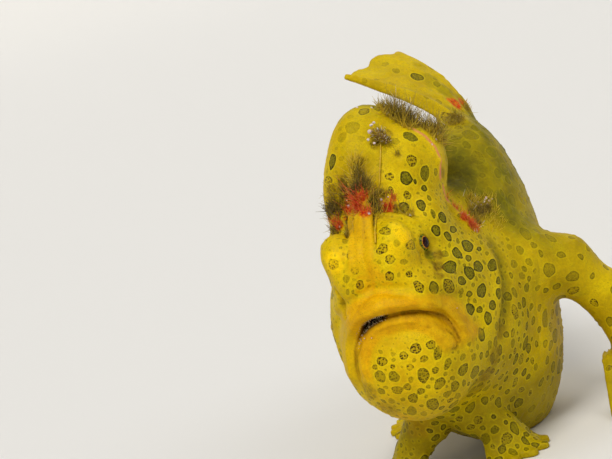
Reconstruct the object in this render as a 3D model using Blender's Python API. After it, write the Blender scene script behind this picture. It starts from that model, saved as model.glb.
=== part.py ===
"""A yellow frogfish at life size, resting on the floor, as named solids.

+X is the fish's left, it faces -Y, +Z is up and the floor is z = 0. The shape is
worked out in millimetres by distance functions from a point below the chin, and the
meshes are made in metres, with their zero under the belly.
"""
import bpy
import bmesh
import numpy as np
from math import radians, pi
from mathutils import Matrix, Vector

MM = 0.001
ORIGIN = (9.3, 47.6, 0.0)     # middle of the flat under the belly, which is the part's own zero, mm
GAP = 0.32            # air between neighbouring solids, mm
WELD = (0.05, 0.02, 0.005, 0.001)
GRID_HEAD, GRID_TRUNK = 2.5, 3.8      # mesh size, mm

for old in list(bpy.data.objects):
    bpy.data.objects.remove(old)


# ---------------------------------------------------------------- shape functions
def smin(a, b, k):
    h = np.maximum(k - np.abs(a - b), 0.0) / k
    return np.minimum(a, b) - h * h * k * 0.25


def smax(a, b, k):
    return -smin(-a, -b, k)


def smoothstep(a, b, x):
    t = np.clip((x - a) / (b - a), 0, 1)
    return t * t * (3 - 2 * t)


def frame(u, n):
    """rows u, v, n: u kept, n made square to it"""
    u = np.array(u, float) / np.linalg.norm(u)
    n = np.array(n, float)
    n = n - n.dot(u) * u
    n = n / np.linalg.norm(n)
    return np.array([u, np.cross(n, u), n])


def turn(ax, ay=0, az=0):
    a, b, c = radians(ax), radians(ay), radians(az)
    X = np.array([[1, 0, 0], [0, np.cos(a), -np.sin(a)], [0, np.sin(a), np.cos(a)]])
    Y = np.array([[np.cos(b), 0, np.sin(b)], [0, 1, 0], [-np.sin(b), 0, np.cos(b)]])
    Z = np.array([[np.cos(c), -np.sin(c), 0], [np.sin(c), np.cos(c), 0], [0, 0, 1]])
    return (Z @ Y @ X).T


def ellipsoid(P, c, r, R=None):
    q = P - np.array(c)
    if R is not None:
        q = q @ R.T
    r = np.array(r)
    k0 = np.sqrt(((q / r) ** 2).sum(1))
    k1 = np.sqrt(((q / r ** 2) ** 2).sum(1))
    return k0 * (k0 - 1.0) / np.maximum(k1, 1e-6)


def cone(P, A, B, ra, rb):
    A, B = np.array(A, float), np.array(B, float)
    AB = B - A
    t = np.clip(((P - A) @ AB) / AB.dot(AB), 0, 1)
    return np.linalg.norm(P - A - t[:, None] * AB, axis=1) - (ra + (rb - ra) * t)


def limb(P, stations, k=2.5):
    d = None
    for (A, ra), (B, rb) in zip(stations[:-1], stations[1:]):
        c = cone(P, A, B, ra, rb)
        d = c if d is None else smin(d, c, k)
    return d


def table(x, xs, ys):
    """smooth curve through stations"""
    xs, ys = np.array(xs, float), np.array(ys, float)
    m = np.gradient(ys, xs)
    i = np.clip(np.searchsorted(xs, x) - 1, 0, len(xs) - 2)
    h = xs[i + 1] - xs[i]
    t = np.clip((x - xs[i]) / h, 0, 1)
    t2, t3 = t * t, t * t * t
    return ((2 * t3 - 3 * t2 + 1) * ys[i] + (t3 - 2 * t2 + t) * h * m[i]
            + (-2 * t3 + 3 * t2) * ys[i + 1] + (t3 - t2) * h * m[i + 1])


# ---------------------------------------------------------------- sizes, mm
# body axis seen from above: straight head, trunk swung to its left, tail back to its right
AXIS_Y = (4, 12, 20, 28, 36, 44, 52, 60, 68, 76, 84, 92, 100, 122)
AXIS_X = (0, 0, 0.8, 3.0, 6.0, 8.3, 8.6, 7.9, 6.9, 5.5, 3.1, -0.6, -5.4, -22.5)

# trunk stations
TRUNK_Y = (8, 16, 24, 34, 44, 54, 63, 71, 79, 86, 92)
TRUNK_BOT = (17, 12.0, 7.0, 0.6, -1.8, -1.1, 3.0, 9.0, 15.0, 19.3, 20.5)
TRUNK_TOP = (46, 49, 50.5, 54.0, 59.2, 58.6, 53.6, 47.0, 41.0, 37.0, 36.0)
TRUNK_HALF = (9.5, 12.5, 14.8, 14.4, 12.8, 11.4, 9.7, 7.9, 5.9, 4.3, 3.4)

JAW_CENTRE, JAW_SIZE = (0, 9.8, 25.0), (11.4, 9.8, 11.6)
MOUTH_Z, MOUTH_HALF, MOUTH_RISE = 24.3, 9.5, 10.0
SNOUT_X = -1.9                            # the snout is turned a little to the fish's right
EYE_MID, EYE_X, EYE_Y, EYE_Z, EYE_R = -0.95, 7.05, 9.9, 44.2, 2.1

ARM_LEFT = (((17.0, 37.0, 32.0), 7.0), ((24.5, 42.0, 29.0), 5.0), ((30.5, 45.2, 20.5), 4.1), ((33.0, 45.5, 8.0), 3.3))
ARM_RIGHT = (((-4.0, 41.0, 26.0), 6.6), ((-9.0, 50.0, 21.0), 4.8), ((-10.6, 57.0, 13.6), 3.9), ((-8.4, 61.6, 7.6), 3.2))
LEG = (((4.6, 24.0, 9.0), 4.4), ((8.6, 24.2, 5.0), 2.9))


def axis_shift(y):
    return table(np.clip(y, AXIS_Y[0], AXIS_Y[-1]), AXIS_Y, AXIS_X)


def straight(P):
    Q = np.array(P, float)
    Q[:, 0] -= axis_shift(Q[:, 1])
    return Q


def mirrored(Q, about=0.0):
    M = Q.copy()
    M[:, 0] = np.abs(M[:, 0] - about)
    return M


def trunk_shape(Q):
    x, y, z = Q[:, 0], Q[:, 1], Q[:, 2]
    yc = np.clip(y, TRUNK_Y[0], TRUNK_Y[-1])
    b, t, w = (table(yc, TRUNK_Y, v) for v in (TRUNK_BOT, TRUNK_TOP, TRUNK_HALF))
    zc = b + (t - b) * 0.46
    h = np.where(z > zc, t - zc, zc - b)
    up, dn = np.clip((z - zc) / h, 0, 1), np.clip((zc - z) / h, 0, 1)
    w = w * (1 - 0.10 * up * up - (0.30 - 0.16 * smoothstep(20, 40, y)) * dn * dn)
    qx, qz = x / w, (z - zc) / h
    e = 2.2 + 0.6 * smoothstep(28, 42, y) * (1 - smoothstep(60, 80, y)) * (z > zc)
    k0 = (np.abs(qx) ** e + np.abs(qz) ** e) ** (1 / e)
    g = np.sqrt((qx / w) ** 2 + (qz / h) ** 2) / np.maximum(np.sqrt(qx ** 2 + qz ** 2), 1e-6)
    d = np.minimum((k0 - 1) / np.maximum(g, 1e-4), 30)
    return smax(d * 0.93, np.maximum(TRUNK_Y[0] - y, y - TRUNK_Y[-1]), 3.0)


def head_shape(Q):
    M = mirrored(Q)
    d = trunk_shape(Q)
    d = smin(d, ellipsoid(Q, (0, 16.8, 41.0), (9.6, 12.2, 12.5)), 4.0)                 # cranium
    d = smin(d, ellipsoid(M, (7.4, 19.0, 29.0), (7.9, 12.5, 14.0), turn(0, 0, -8)), 4.0)  # cheeks
    d = smin(d, ellipsoid(Q, JAW_CENTRE, JAW_SIZE), 2.2)                                # lower jaw
    d = smin(d, ellipsoid(Q, (0, 8.2, 36.6), (10.6, 7.8, 5.0)), 3.0)                   # upper lip
    S, E = mirrored(Q, SNOUT_X), mirrored(Q, EYE_MID)
    d = smin(d, ellipsoid(S, (3.2, 7.6, 42.2), (4.9, 6.4, 6.6)), 1.8)                  # snout
    d = smin(d, ellipsoid(S, (5.2, 6.2, 46.0), (3.1, 3.8, 3.9)), 1.4)                  # bumps before the eyes
    d = smin(d, cone(Q, (-1.2, 4.0, 42.5), (-1.2, 8.8, 51.0), 1.6, 2.2), 2.0)          # snout ridge
    d = smin(d, ellipsoid(M, (8.0, 16.8, 44.5), (3.0, 4.6, 7.2)), 2.0)                 # ridge behind the eye
    d = smax(d, -ellipsoid(E, (9.6, 8.0, 44.2), (2.0, 3.0, 2.7), turn(0, 0, 18)), 1.0)  # hollow before the eye
    return smin(d, ellipsoid(E, (6.5, 10.6, 44.3), (2.2, 2.6, 2.7)), 0.8)              # orbit


def hump_shape(Q):
    d = ellipsoid(Q, (-0.9, 21.8, 53.6), (10.8, 8.8, 11.4), turn(-10))
    d = smin(d, ellipsoid(Q, (-2.4, 22.6, 60.2), (6.4, 7.0, 8.9), turn(-16)), 2.6)
    return smin(d, ellipsoid(Q, (4.4, 24.0, 57.2), (5.2, 6.2, 5.6), turn(-16)), 2.4)


def torso(P):
    """head, hump of the third dorsal spine, trunk and leg stubs, cut flat at the floor"""
    Q = straight(P)
    M = mirrored(Q)
    d = smin(head_shape(Q), hump_shape(Q), 2.6)
    d = smax(d, -ellipsoid(Q, (0, 35.5, 62.0), (30, 3.6, 12.0), turn(-14)), 3.0)       # saddle behind the hump
    d = smax(d, -cone(M, (9, 33.5, 54), (15.6, 30.0, 42.0), 3.4, 0.8), 2.5)
    d = smax(d, -ellipsoid(Q, (0, 9.6, 54.4), (16, 2.2, 2.6), turn(-30)), 1.6)         # notch at the brow
    d = smin(d, limb(mirrored(P), LEG), 2.0)
    return smax(d, -P[:, 2], 0.4)


# ---------------------------------------------------------------- a closed quad skin round a shape function
def wrap(f, lo, hi, h, steps=4):
    """tries a few places for the grid until every edge has two faces and every point one fan of them"""
    for k in range(24):
        V, Q = skin(f, np.array(lo, float) - h * np.array([0.37 * k % 1, 0.61 * k % 1, 0]), hi, h, steps)
        E = np.sort(np.concatenate([Q[:, [i, (i + 1) % 4]] for i in range(4)]), 1)
        _, times = np.unique(E, axis=0, return_counts=True)
        if (times == 2).all() and len(V) - len(times) + len(Q) == 2:
            return V, Q
    raise ValueError('no closed skin was found')


def skin(f, lo, hi, h, steps):
    n = np.ceil((np.array(hi) - lo) / h).astype(int) + 1
    ax = [lo[i] + np.arange(n[i]) * h for i in range(3)]
    P = np.stack(np.meshgrid(*ax, indexing='ij'), -1).reshape(-1, 3)
    grid = f(P).reshape(n)
    neg = grid < 0
    count = sum(neg[a:n[0] - 1 + a, b:n[1] - 1 + b, c:n[2] - 1 + c].astype(int)
                for a in (0, 1) for b in (0, 1) for c in (0, 1))
    act = (count > 0) & (count < 8)
    cells = np.argwhere(act)
    num = np.full(tuple(n - 1), -1, int)
    num[act] = np.arange(len(cells))
    total, hits = np.zeros((len(cells), 3)), np.zeros(len(cells))
    for a in range(8):
        o = np.array([a & 1, (a >> 1) & 1, a >> 2])
        va = grid[tuple((cells + o).T)]
        for k in range(3):
            if not (a >> k) & 1:
                e = np.eye(3, dtype=int)[k]
                vb = grid[tuple((cells + o + e).T)]
                m = (va < 0) != (vb < 0)
                t = np.where(m, va / np.where(m, va - vb, 1), 0)
                total[m] += (o + np.outer(t, e))[m]
                hits[m] += 1
    V = lo + (cells + total / hits[:, None]) * h
    quads = []
    for k in range(3):
        u, v = (k + 1) % 3, (k + 2) % 3
        A = neg.take(range(n[k] - 1), k)
        B = neg.take(range(1, n[k]), k)
        ch = np.argwhere(A != B)
        inside = A[tuple(ch.T)]
        eu, ev = np.eye(3, dtype=int)[u], np.eye(3, dtype=int)[v]
        q = np.stack([num[tuple((ch + o).T)] for o in (-eu - ev, -ev, 0 * eu, -eu)], 1)
        q[~inside] = q[~inside][:, ::-1]
        quads.append(q)
    Q = np.concatenate(quads)
    used = np.unique(Q)
    back = np.full(len(V), -1)
    back[used] = np.arange(len(used))
    V, Q = V[used], back[Q]
    e = 0.05
    K = np.array([[1, -1, -1], [-1, -1, 1], [-1, 1, -1], [1, 1, 1]], float)
    for _ in range(steps):                       # settle each point on the true surface
        g, m = 0, 0
        for k in K:
            val = f(V + e * k)
            g, m = g + val[:, None] * k, m + val
        g, m = g / (4 * e), m / 4
        s = (-m / np.maximum((g * g).sum(1), 0.1))[:, None] * g
        L = np.linalg.norm(s, axis=1)
        V = V + s * np.minimum(1, 0.25 * h / np.maximum(L, 1e-9))[:, None]
    V[np.abs(V[:, 2]) < 0.02, 2] = 0.0
    return V, Q


# ---------------------------------------------------------------- fins: blades of rays, parametric
def fan(O, F, back, root, lo, hi, rays, reach, thick, ridge, web=1.0, fall=None, lean=None, curl=None,
        rows=6, pad_deg=1.5, floor=False, follow=True, base=None):
    """points of a closed blade. Rays spread from a centre 'back' behind O, from radius back+root to reach(s).
    fall(t): offset along n. lean(v), curl(v): angle of lean and radius of curl towards n."""
    O, F = np.array(O, float), np.array(F, float)
    cols = 2 * (rays - 1) + 1
    S = np.concatenate([[-pad_deg / (hi - lo)], np.linspace(0, 1, cols), [1 + pad_deg / (hi - lo)]])
    top, bot = [], []
    for s in S:
        a = radians(lo + (hi - lo) * s)
        sc = min(max(s, 0.0), 1.0)
        j = sc * (rays - 1)
        ray = np.cos(pi * (j - round(j))) ** 2
        edge = s < 0 or s > 1
        R = reach(sc) - web * (1 - ray) ** 1.5 - (0.5 if edge else 0)
        r = np.linspace(back + root, R, rows)
        t = np.clip((r - back) / (R - back), 0, 1)
        h = thick[0] * (1 - t) + thick[1] * t + ridge * ray * (1 - 0.3 * t)
        if base is not None:
            h = h + base * np.exp(-(t / 0.2) ** 2)
        if edge:
            h = h * 0.0 + thick[1] * 0.75
        u, v = r * np.cos(a) - back, r * np.sin(a)
        c = fall(t) if fall is not None else 0 * t
        for store, sign in ((top, 1), (bot, -1)):
            n = c + sign * h
            if floor and sign < 0:
                n = np.maximum(n, 0.0)
            if floor and sign > 0:
                n = np.maximum(n, 0.6)
            U, N = u.copy(), n.copy()
            if lean is not None:
                bb = curl(v)
                pos = U > 0
                ang = np.where(pos, U / bb, 0)
                U, N = np.where(pos, (bb - N) * np.sin(ang), U), np.where(pos, bb - (bb - N) * np.cos(ang), N)
                A = lean(v)
                U, N = U * np.cos(A) - N * np.sin(A), U * np.sin(A) + N * np.cos(A)
            store.append(O + np.stack([U, v, N], 1) @ F)
    top, bot = np.array(top), np.array(bot)
    C, Rn = top.shape[:2]
    if follow:
        for arr in (top, bot):
            arr[..., 0] += axis_shift(arr[..., 1])
    verts = np.concatenate([top.reshape(-1, 3), bot.reshape(-1, 3)])
    T = np.arange(C * Rn).reshape(C, Rn)
    B = T + C * Rn
    faces = []
    for i in range(C - 1):
        for j in range(Rn - 1):
            faces.append((T[i, j], T[i, j + 1], T[i + 1, j + 1], T[i + 1, j]))
            faces.append((B[i, j], B[i + 1, j], B[i + 1, j + 1], B[i, j + 1]))
    loop = [(i, 0) for i in range(C)] + [(C - 1, j) for j in range(1, Rn)] + \
           [(i, Rn - 1) for i in range(C - 2, -1, -1)] + [(0, j) for j in range(Rn - 2, 0, -1)]
    for p, q in zip(loop, loop[1:] + loop[:1]):
        faces.append((T[p], T[q], B[q], B[p]))
    return verts, faces


# ---------------------------------------------------------------- objects
def material(name, rgb, rough):
    m = bpy.data.materials.new(name)
    m.use_nodes = True
    p = m.node_tree.nodes['Principled BSDF']
    p.inputs['Base Color'].default_value = (*rgb, 1)
    p.inputs['Roughness'].default_value = rough
    p.inputs['Metallic'].default_value = 0.0
    return m


SKIN = material('skin_yellow', (0.60, 0.42, 0.012), 0.55)
FIN = material('fin_yellow', (0.50, 0.36, 0.012), 0.55)
BACK = material('skin_olive', (0.22, 0.17, 0.008), 0.6)
BROWN = material('skin_brown', (0.16, 0.08, 0.012), 0.7)
EYE = material('eye_dark', (0.03, 0.01, 0.006), 0.12)


def solid(name, verts, faces, mat):
    me = bpy.data.meshes.new(name)
    me.from_pydata(((np.asarray(verts) - ORIGIN) * MM).tolist(), [], [tuple(int(i) for i in f) for f in faces])
    bm = bmesh.new()
    bm.from_mesh(me)
    bmesh.ops.recalc_face_normals(bm, faces=bm.faces)
    bm.to_mesh(me)
    bm.free()
    me.materials.append(mat)
    ob = bpy.data.objects.new(name, me)
    bpy.context.scene.collection.objects.link(ob)
    return ob


def helper(name, verts, faces):
    ob = solid(name, verts, faces, SKIN)
    ob.hide_render = True
    return ob


def closed(me):
    """volume of a mesh whose every edge and point is sound, else nothing"""
    bm = bmesh.new()
    bm.from_mesh(me)
    sound = len(bm.verts) > 3 and all(len(e.link_faces) == 2 for e in bm.edges) and all(v.is_manifold for v in bm.verts)
    volume = bm.calc_volume(signed=True) if sound else None
    bm.free()
    return volume


def boolean(ob, other, kind):
    """Boolean, applied: the exact solver, or the manifold one where that leaves a torn or lost mesh"""
    before, tool = closed(ob.data), closed(other.data)
    for solver in ('EXACT', 'MANIFOLD'):
        mod = ob.modifiers.new('cut', 'BOOLEAN')
        mod.operation, mod.solver, mod.object = kind, solver, other
        bpy.context.view_layer.update()
        graph = bpy.context.evaluated_depsgraph_get()
        me = bpy.data.meshes.new_from_object(ob.evaluated_get(graph))
        ob.modifiers.clear()
        after = closed(me)
        least = 1e-12 if kind == 'INTERSECT' else max(before - tool, before * 0.15)
        most = min(before, tool) if kind == 'INTERSECT' else before
        if after is not None and least * 0.999 <= after <= most * 1.001:
            old = ob.data
            ob.data = me
            bpy.data.meshes.remove(old)
            return
        bpy.data.meshes.remove(me)
    raise ValueError('cut failed on ' + ob.name)


def clean(ob):
    """keep the largest shell, and weld slivers where the mesh stays sound"""
    bm = bmesh.new()
    bm.from_mesh(ob.data)
    left, shells = set(bm.verts), []
    while left:
        stack, shell = [next(iter(left))], set()
        while stack:
            v = stack.pop()
            if v in shell:
                continue
            shell.add(v)
            stack += [e.other_vert(v) for e in v.link_edges if e.other_vert(v) not in shell]
        left -= shell
        shells.append(shell)
    shells.sort(key=len, reverse=True)
    for s in shells[1:]:
        bmesh.ops.delete(bm, geom=list(s), context='VERTS')
    bm.to_mesh(ob.data)
    for d in WELD:
        trial = bm.copy()
        bmesh.ops.remove_doubles(trial, verts=trial.verts, dist=d * MM)
        bmesh.ops.triangulate(trial, faces=[f for f in trial.faces if len(f.verts) > 4])
        me = bpy.data.meshes.new('trial')
        trial.to_mesh(me)
        trial.free()
        if closed(me) is not None:
            me.materials.append(ob.data.materials[0])
            old = ob.data
            ob.data = me
            bpy.data.meshes.remove(old)
            break
        bpy.data.meshes.remove(me)
    bm.free()


def duplicate(ob, name):
    new = bpy.data.objects.new(name, ob.data.copy())
    bpy.context.scene.collection.objects.link(new)
    return new


def remove(ob):
    me = ob.data
    bpy.data.objects.remove(ob)
    bpy.data.meshes.remove(me)


def block(name, point, normal, up=(0, 0, 1), size=(90, 90, 120)):
    """helper box whose first face lies in the plane through point, reaching along normal"""
    n = Vector(normal).normalized()
    s = Vector(up).cross(n).normalized()
    t = n.cross(s)
    verts = []
    for k in (0, size[2]):
        for a, b in ((-1, -1), (1, -1), (1, 1), (-1, 1)):
            verts.append(tuple(Vector(point) + n * k + s * (a * size[0] / 2) + t * (b * size[1] / 2)))
    faces = [(0, 3, 2, 1), (4, 5, 6, 7), (0, 1, 5, 4), (1, 2, 6, 5), (2, 3, 7, 6), (3, 0, 4, 7)]
    return helper(name, verts, faces)


def arch(name, inset, depth, sides=28):
    """mouth-shaped plug: an upturned U, straight back along y to depth"""
    half, rise = MOUTH_HALF - inset, MOUTH_RISE - inset
    ring = [(half, 6.0)] + [(half * np.cos(a), MOUTH_Z + rise * np.sin(a)) for a in np.linspace(0, pi, sides)] + [(-half, 6.0)]
    n = len(ring)
    verts = [(x, -8.0, z) for x, z in ring] + [(x, depth - inset + 0.10 * (z - 25), z) for x, z in ring]
    faces = [tuple(range(n)), tuple(range(2 * n - 1, n - 1, -1))] + \
            [(i, (i + 1) % n, (i + 1) % n + n, i + n) for i in range(n)]
    return helper(name, verts, faces)


def ball(name, c, r, mat, segments=12, rings=8, axis=(1, -0.2, 0.05)):
    bm = bmesh.new()
    bmesh.ops.create_uvsphere(bm, u_segments=segments, v_segments=rings, radius=r * MM)
    q = Vector((0, 0, 1)).rotation_difference(Vector(axis))
    bmesh.ops.transform(bm, matrix=Matrix.Translation((Vector(c) - Vector(ORIGIN)) * MM) @ q.to_matrix().to_4x4(), verts=bm.verts)
    me = bpy.data.meshes.new(name)
    bm.to_mesh(me)
    bm.free()
    me.materials.append(mat)
    ob = bpy.data.objects.new(name, me)
    bpy.context.scene.collection.objects.link(ob)
    return ob


def rod(points, radii, sides=8):
    """closed tapered tube through points"""
    P = [Vector(p) for p in points]
    verts, faces = [], []
    for i, p in enumerate(P):
        d = (P[min(i + 1, len(P) - 1)] - P[max(i - 1, 0)]).normalized()
        a = d.cross(Vector((1, 0, 0.2))).normalized()
        b = d.cross(a)
        for k in range(sides):
            w = 2 * pi * k / sides
            verts.append(tuple(p + (a * np.cos(w) + b * np.sin(w)) * radii[i]))
    for i in range(len(P) - 1):
        for k in range(sides):
            j = (k + 1) % sides
            faces.append((i * sides + k, i * sides + j, (i + 1) * sides + j, (i + 1) * sides + k))
    faces.append(tuple(range(sides)))
    faces.append(tuple((len(P) - 1) * sides + k for k in range(sides)))
    return verts, faces


# ---------------------------------------------------------------- body, parted with thin cuts
BOX = (-24, -4, -1.9), (30, 97, 74)
front = helper('front', *wrap(lambda P: np.maximum(torso(P), P[:, 1] - 43), BOX[0], (30, 50, 74), GRID_HEAD))
whole = helper('whole', *wrap(torso, *BOX, GRID_TRUNK))


def inflated(ob, grow):
    """the same skin, moved out along its normals"""
    me = ob.data.copy()
    normals = [v.normal.copy() for v in me.vertices]
    for v, n in zip(me.vertices, normals):
        v.co += n * grow * MM
    new = bpy.data.objects.new('fat_' + ob.name, me)
    bpy.context.scene.collection.objects.link(new)
    new.hide_render = True
    return new


fat, fat_trunk = inflated(front, GAP + 0.04), inflated(whole, GAP + 0.04)

NECK_POINT, NECK_NORMAL = (4, 30.0, 40.0), (0.0, 1.0, -0.46)
nn = Vector(NECK_NORMAL).normalized() * GAP / 2
behind = block('behind', Vector(NECK_POINT) + nn, NECK_NORMAL)
before = block('before', Vector(NECK_POINT) - nn, -Vector(NECK_NORMAL))

trunk = duplicate(whole, 'trunk')
boolean(trunk, behind, 'INTERSECT')
head = duplicate(front, 'head')
boolean(head, before, 'INTERSECT')

jaw_out, jaw_in = arch('jaw_out', 0.0, 14.0), arch('jaw_in', GAP, 14.0)
lower_jaw = duplicate(head, 'lower_jaw')
boolean(lower_jaw, jaw_in, 'INTERSECT')
boolean(head, jaw_out, 'DIFFERENCE')

HUMP_Z, HUMP_Y = 50.6, 12.6


def step(name, grow):
    """everything above and behind the foot of the hump, widened by grow"""
    z, y = HUMP_Z - grow, HUMP_Y - grow
    side = [(y, 80), (y, z + 1.0), (y + 2, z), (60, z), (60, 80)]
    verts = [(-30, a, b) for a, b in side] + [(30, a, b) for a, b in side]
    n = len(side)
    faces = [tuple(range(n)), tuple(range(2 * n - 1, n - 1, -1))] + [(i, (i + 1) % n, (i + 1) % n + n, i + n) for i in range(n)]
    return helper(name, verts, faces)


hump_in, hump_out = step('hump_in', 0.0), step('hump_out', GAP)
hump = duplicate(head, 'dorsal_spine_3')
boolean(hump, hump_in, 'INTERSECT')
boolean(head, hump_out, 'DIFFERENCE')

TAIL_POINT, TAIL_NORMAL = (6.5, 74.0, 28.0), (-0.30, 1.0, 0.0)
tn = Vector(TAIL_NORMAL).normalized() * GAP / 2
aft = block('aft', Vector(TAIL_POINT) + tn, TAIL_NORMAL)
fore = block('fore', Vector(TAIL_POINT) - tn, -Vector(TAIL_NORMAL))
tail = duplicate(trunk, 'tail')
boolean(tail, aft, 'INTERSECT')
boolean(trunk, fore, 'INTERSECT')

for side, s in (('left', 1), ('right', -1)):
    centre, look = Vector((EYE_MID + s * EYE_X, EYE_Y, EYE_Z)), Vector((s, -0.25, 0.05)).normalized()
    window = helper('window', *rod([centre, centre + look * 5], [EYE_R * 0.93, EYE_R * 0.93], 12))
    boolean(head, window, 'DIFFERENCE')
    socket = ball('socket', centre, EYE_R + GAP, SKIN, axis=look)
    socket.hide_render = True
    boolean(head, socket, 'DIFFERENCE')
    ball('eye_' + side, centre, EYE_R, EYE, axis=look)

for ob, mat in ((trunk, BACK), (head, SKIN), (lower_jaw, SKIN), (hump, SKIN), (tail, SKIN)):
    clean(ob)
    ob.data.materials.clear()
    ob.data.materials.append(mat)

# second dorsal spine, leaning back on the hump, and the fishing rod laid along the snout
spine = solid('dorsal_spine_2', *rod([(0, 9.4, 47.6), (-0.4, 9.6, 50.2), (-0.6, 9.7, 54.5), (-0.8, 10.5, 58.0), (-1.0, 11.6, 60.6)],
                                     [1.7, 1.9, 1.55, 1.2, 0.7], 10), BROWN)


def before(x, z, off):
    """the first place behind a point in front of the face that is this far from the skin"""
    y = np.linspace(-3, 30, 661)
    P = np.column_stack([np.full_like(y, x), y, np.full_like(y, z)])
    return (x, float(y[np.argmax(torso(P) < off)]), z)


LURE = ((1.5, 46.4), (1.9, 49.2), (2.2, 51.8), (2.3, 54.4), (2.4, 57.2), (2.6, 59.8), (2.9, 62.2), (3.0, 64.2), (3.0, 65.2))
lure = solid('illicium', *rod([before(x, z, 0.95 if z < 63 else 1.25) for x, z in LURE],
                              [0.42, 0.42, 0.42, 0.40, 0.40, 0.40, 0.40, 0.95, 0.5], 6), FIN)
for ob in (spine, lure):
    boolean(ob, fat, 'DIFFERENCE')
    clean(ob)


# ---------------------------------------------------------------- arms and fins
def arm(stations, grow=0.0, rings=11, sides=14):
    """tapered tube on a smooth curve through the stations, with rounded ends"""
    at = np.arange(len(stations))
    C = np.array([p for p, _ in stations])
    r = np.array([v for _, v in stations]) + grow
    t = np.linspace(0, at[-1], rings)
    line = np.stack([table(t, at, C[:, k]) for k in range(3)], 1)
    rad = table(t, at, r)
    first, last = C[1] - C[0], C[-1] - C[-2]
    first, last = first / np.linalg.norm(first), last / np.linalg.norm(last)
    start = [(line[0] - first * rad[0] * k, rad[0] * (1 - k * k) ** 0.5) for k in (0.92, 0.65)]
    stop = [(line[-1] + last * rad[-1] * k, rad[-1] * (1 - k * k) ** 0.5) for k in (0.65, 0.92)]
    chain = start + list(zip(line, rad)) + stop
    return rod([tuple(p) for p, _ in chain], [v for _, v in chain], sides)


arms = {}
for name, stations in (('pectoral_arm_left', ARM_LEFT), ('pectoral_arm_right', ARM_RIGHT)):
    ob = solid(name, *arm(stations), SKIN)
    boolean(ob, fat_trunk, 'DIFFERENCE')
    clean(ob)
    arms[name] = helper('fat_' + name, *arm(stations, GAP))


def hand_fall(t):
    return 7.2 * (1 - smoothstep(0, 0.84, t)) + 0.45


def foot_fall(t):
    return 5.0 * (1 - smoothstep(0, 0.82, t)) + 0.45


def spread(base, length):
    return lambda s: base + length * (0.72 + 0.28 * np.sin(pi * (0.15 + 0.7 * s)))


for name, O, u, cut in (('pectoral_fin_left', (33.0, 45.5, 0), (0.86, -0.50, 0), arms['pectoral_arm_left']),
                        ('pectoral_fin_right', (-8.2, 62.0, 0), (-0.80, 0.60, 0), arms['pectoral_arm_right'])):
    ob = solid(name, *fan(O, frame(u, (0, 0, 1)), 6.0, -3.0, -58, 58, 10, spread(6, 12.5), (2.3, 0.50), 0.32,
                          web=2.4, fall=hand_fall, rows=5, floor=True, follow=False), FIN)
    boolean(ob, cut, 'DIFFERENCE')
    clean(ob)

for name, s in (('pelvic_fin_left', 1), ('pelvic_fin_right', -1)):
    ob = solid(name, *fan((s * 8.6, 24.0, 0), frame((s * 0.78, -0.62, 0), (0, 0, 1)), 3.5, -2.0, -44, 44, 5, spread(3.5, 8.0),
                          (1.9, 0.55), 0.34, web=1.8, fall=foot_fall, rows=5, floor=True, follow=False), FIN)
    boolean(ob, fat_trunk, 'DIFFERENCE')
    clean(ob)


def dorsal_reach(s):
    return 77 + 4.4 * np.sin(pi * (0.30 + 0.66 * s)) ** 0.8 + 5.6 * (1 - smoothstep(-0.04, 0.52, s)) - 6.5 * smoothstep(0.74, 1.06, s)


dorsal = solid('dorsal_fin', *fan((2.6, 62.5, 50.8), frame((0, 0.42, 0.90), (-1, 0, 0)), 60.0, -2.5, -16.5, 17.5, 12, dorsal_reach,
                                  (1.3, 0.42), 0.26, rows=7,
                                  lean=lambda v: np.radians(44 - 56 * smoothstep(-23, -5, v)),
                                  curl=lambda v: 60 - 45 * smoothstep(-23, -5, v)), FIN)
anal = solid('anal_fin', *fan((0, 70.5, 12.6), frame((0, 0.52, -0.85), (1, 0, 0)), 26.0, -2.0, -21, 21, 7,
                              lambda s: 26 + 12.0 * np.sin(pi * (0.16 + 0.74 * s)) ** 0.7, (1.2, 0.42), 0.25,
                              fall=lambda t: 1.2 * t * t, rows=5), FIN)
caudal = solid('caudal_fin', *fan((0, 90.0, 28.0), frame((0, 1, 0.03), (1, 0, 0)), 10.0, -2.0, -36, 36, 9,
                                  lambda s: 10 + 27.0 * (0.76 + 0.24 * np.sin(pi * s) ** 0.7), (1.8, 0.42), 0.30,
                                  fall=lambda t: 4.0 * t * t, rows=5), FIN)
for ob in (dorsal, anal, caudal):
    boolean(ob, fat_trunk, 'DIFFERENCE')
    clean(ob)

for ob in list(bpy.data.objects):
    if ob.hide_render:
        remove(ob)
    else:
        ob.data.name = ob.name
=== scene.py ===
"""Looks of the yellow frogfish: one fine skin over the whole fish with its markings, glossy eyes,
teeth in the parted lips, the folded lure, filaments on the brow, and the floor, lights and camera."""
import math
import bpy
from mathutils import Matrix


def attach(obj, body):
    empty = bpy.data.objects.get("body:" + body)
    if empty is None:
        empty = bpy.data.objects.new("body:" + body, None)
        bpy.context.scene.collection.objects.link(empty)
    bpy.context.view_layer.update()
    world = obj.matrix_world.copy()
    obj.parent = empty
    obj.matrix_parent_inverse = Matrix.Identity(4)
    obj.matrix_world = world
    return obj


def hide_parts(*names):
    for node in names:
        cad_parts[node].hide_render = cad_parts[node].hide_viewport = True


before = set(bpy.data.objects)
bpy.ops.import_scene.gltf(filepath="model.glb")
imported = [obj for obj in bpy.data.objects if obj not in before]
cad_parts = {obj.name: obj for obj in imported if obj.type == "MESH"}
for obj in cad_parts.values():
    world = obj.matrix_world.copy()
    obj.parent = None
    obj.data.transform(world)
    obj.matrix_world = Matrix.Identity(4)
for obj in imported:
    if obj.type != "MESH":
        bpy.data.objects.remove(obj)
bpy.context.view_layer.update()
from concurrent.futures import ThreadPoolExecutor
from math import cos, radians, sin, pi

import bpy
import numpy as np
from mathutils import Matrix, Vector
from mathutils.bvhtree import BVHTree

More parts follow.
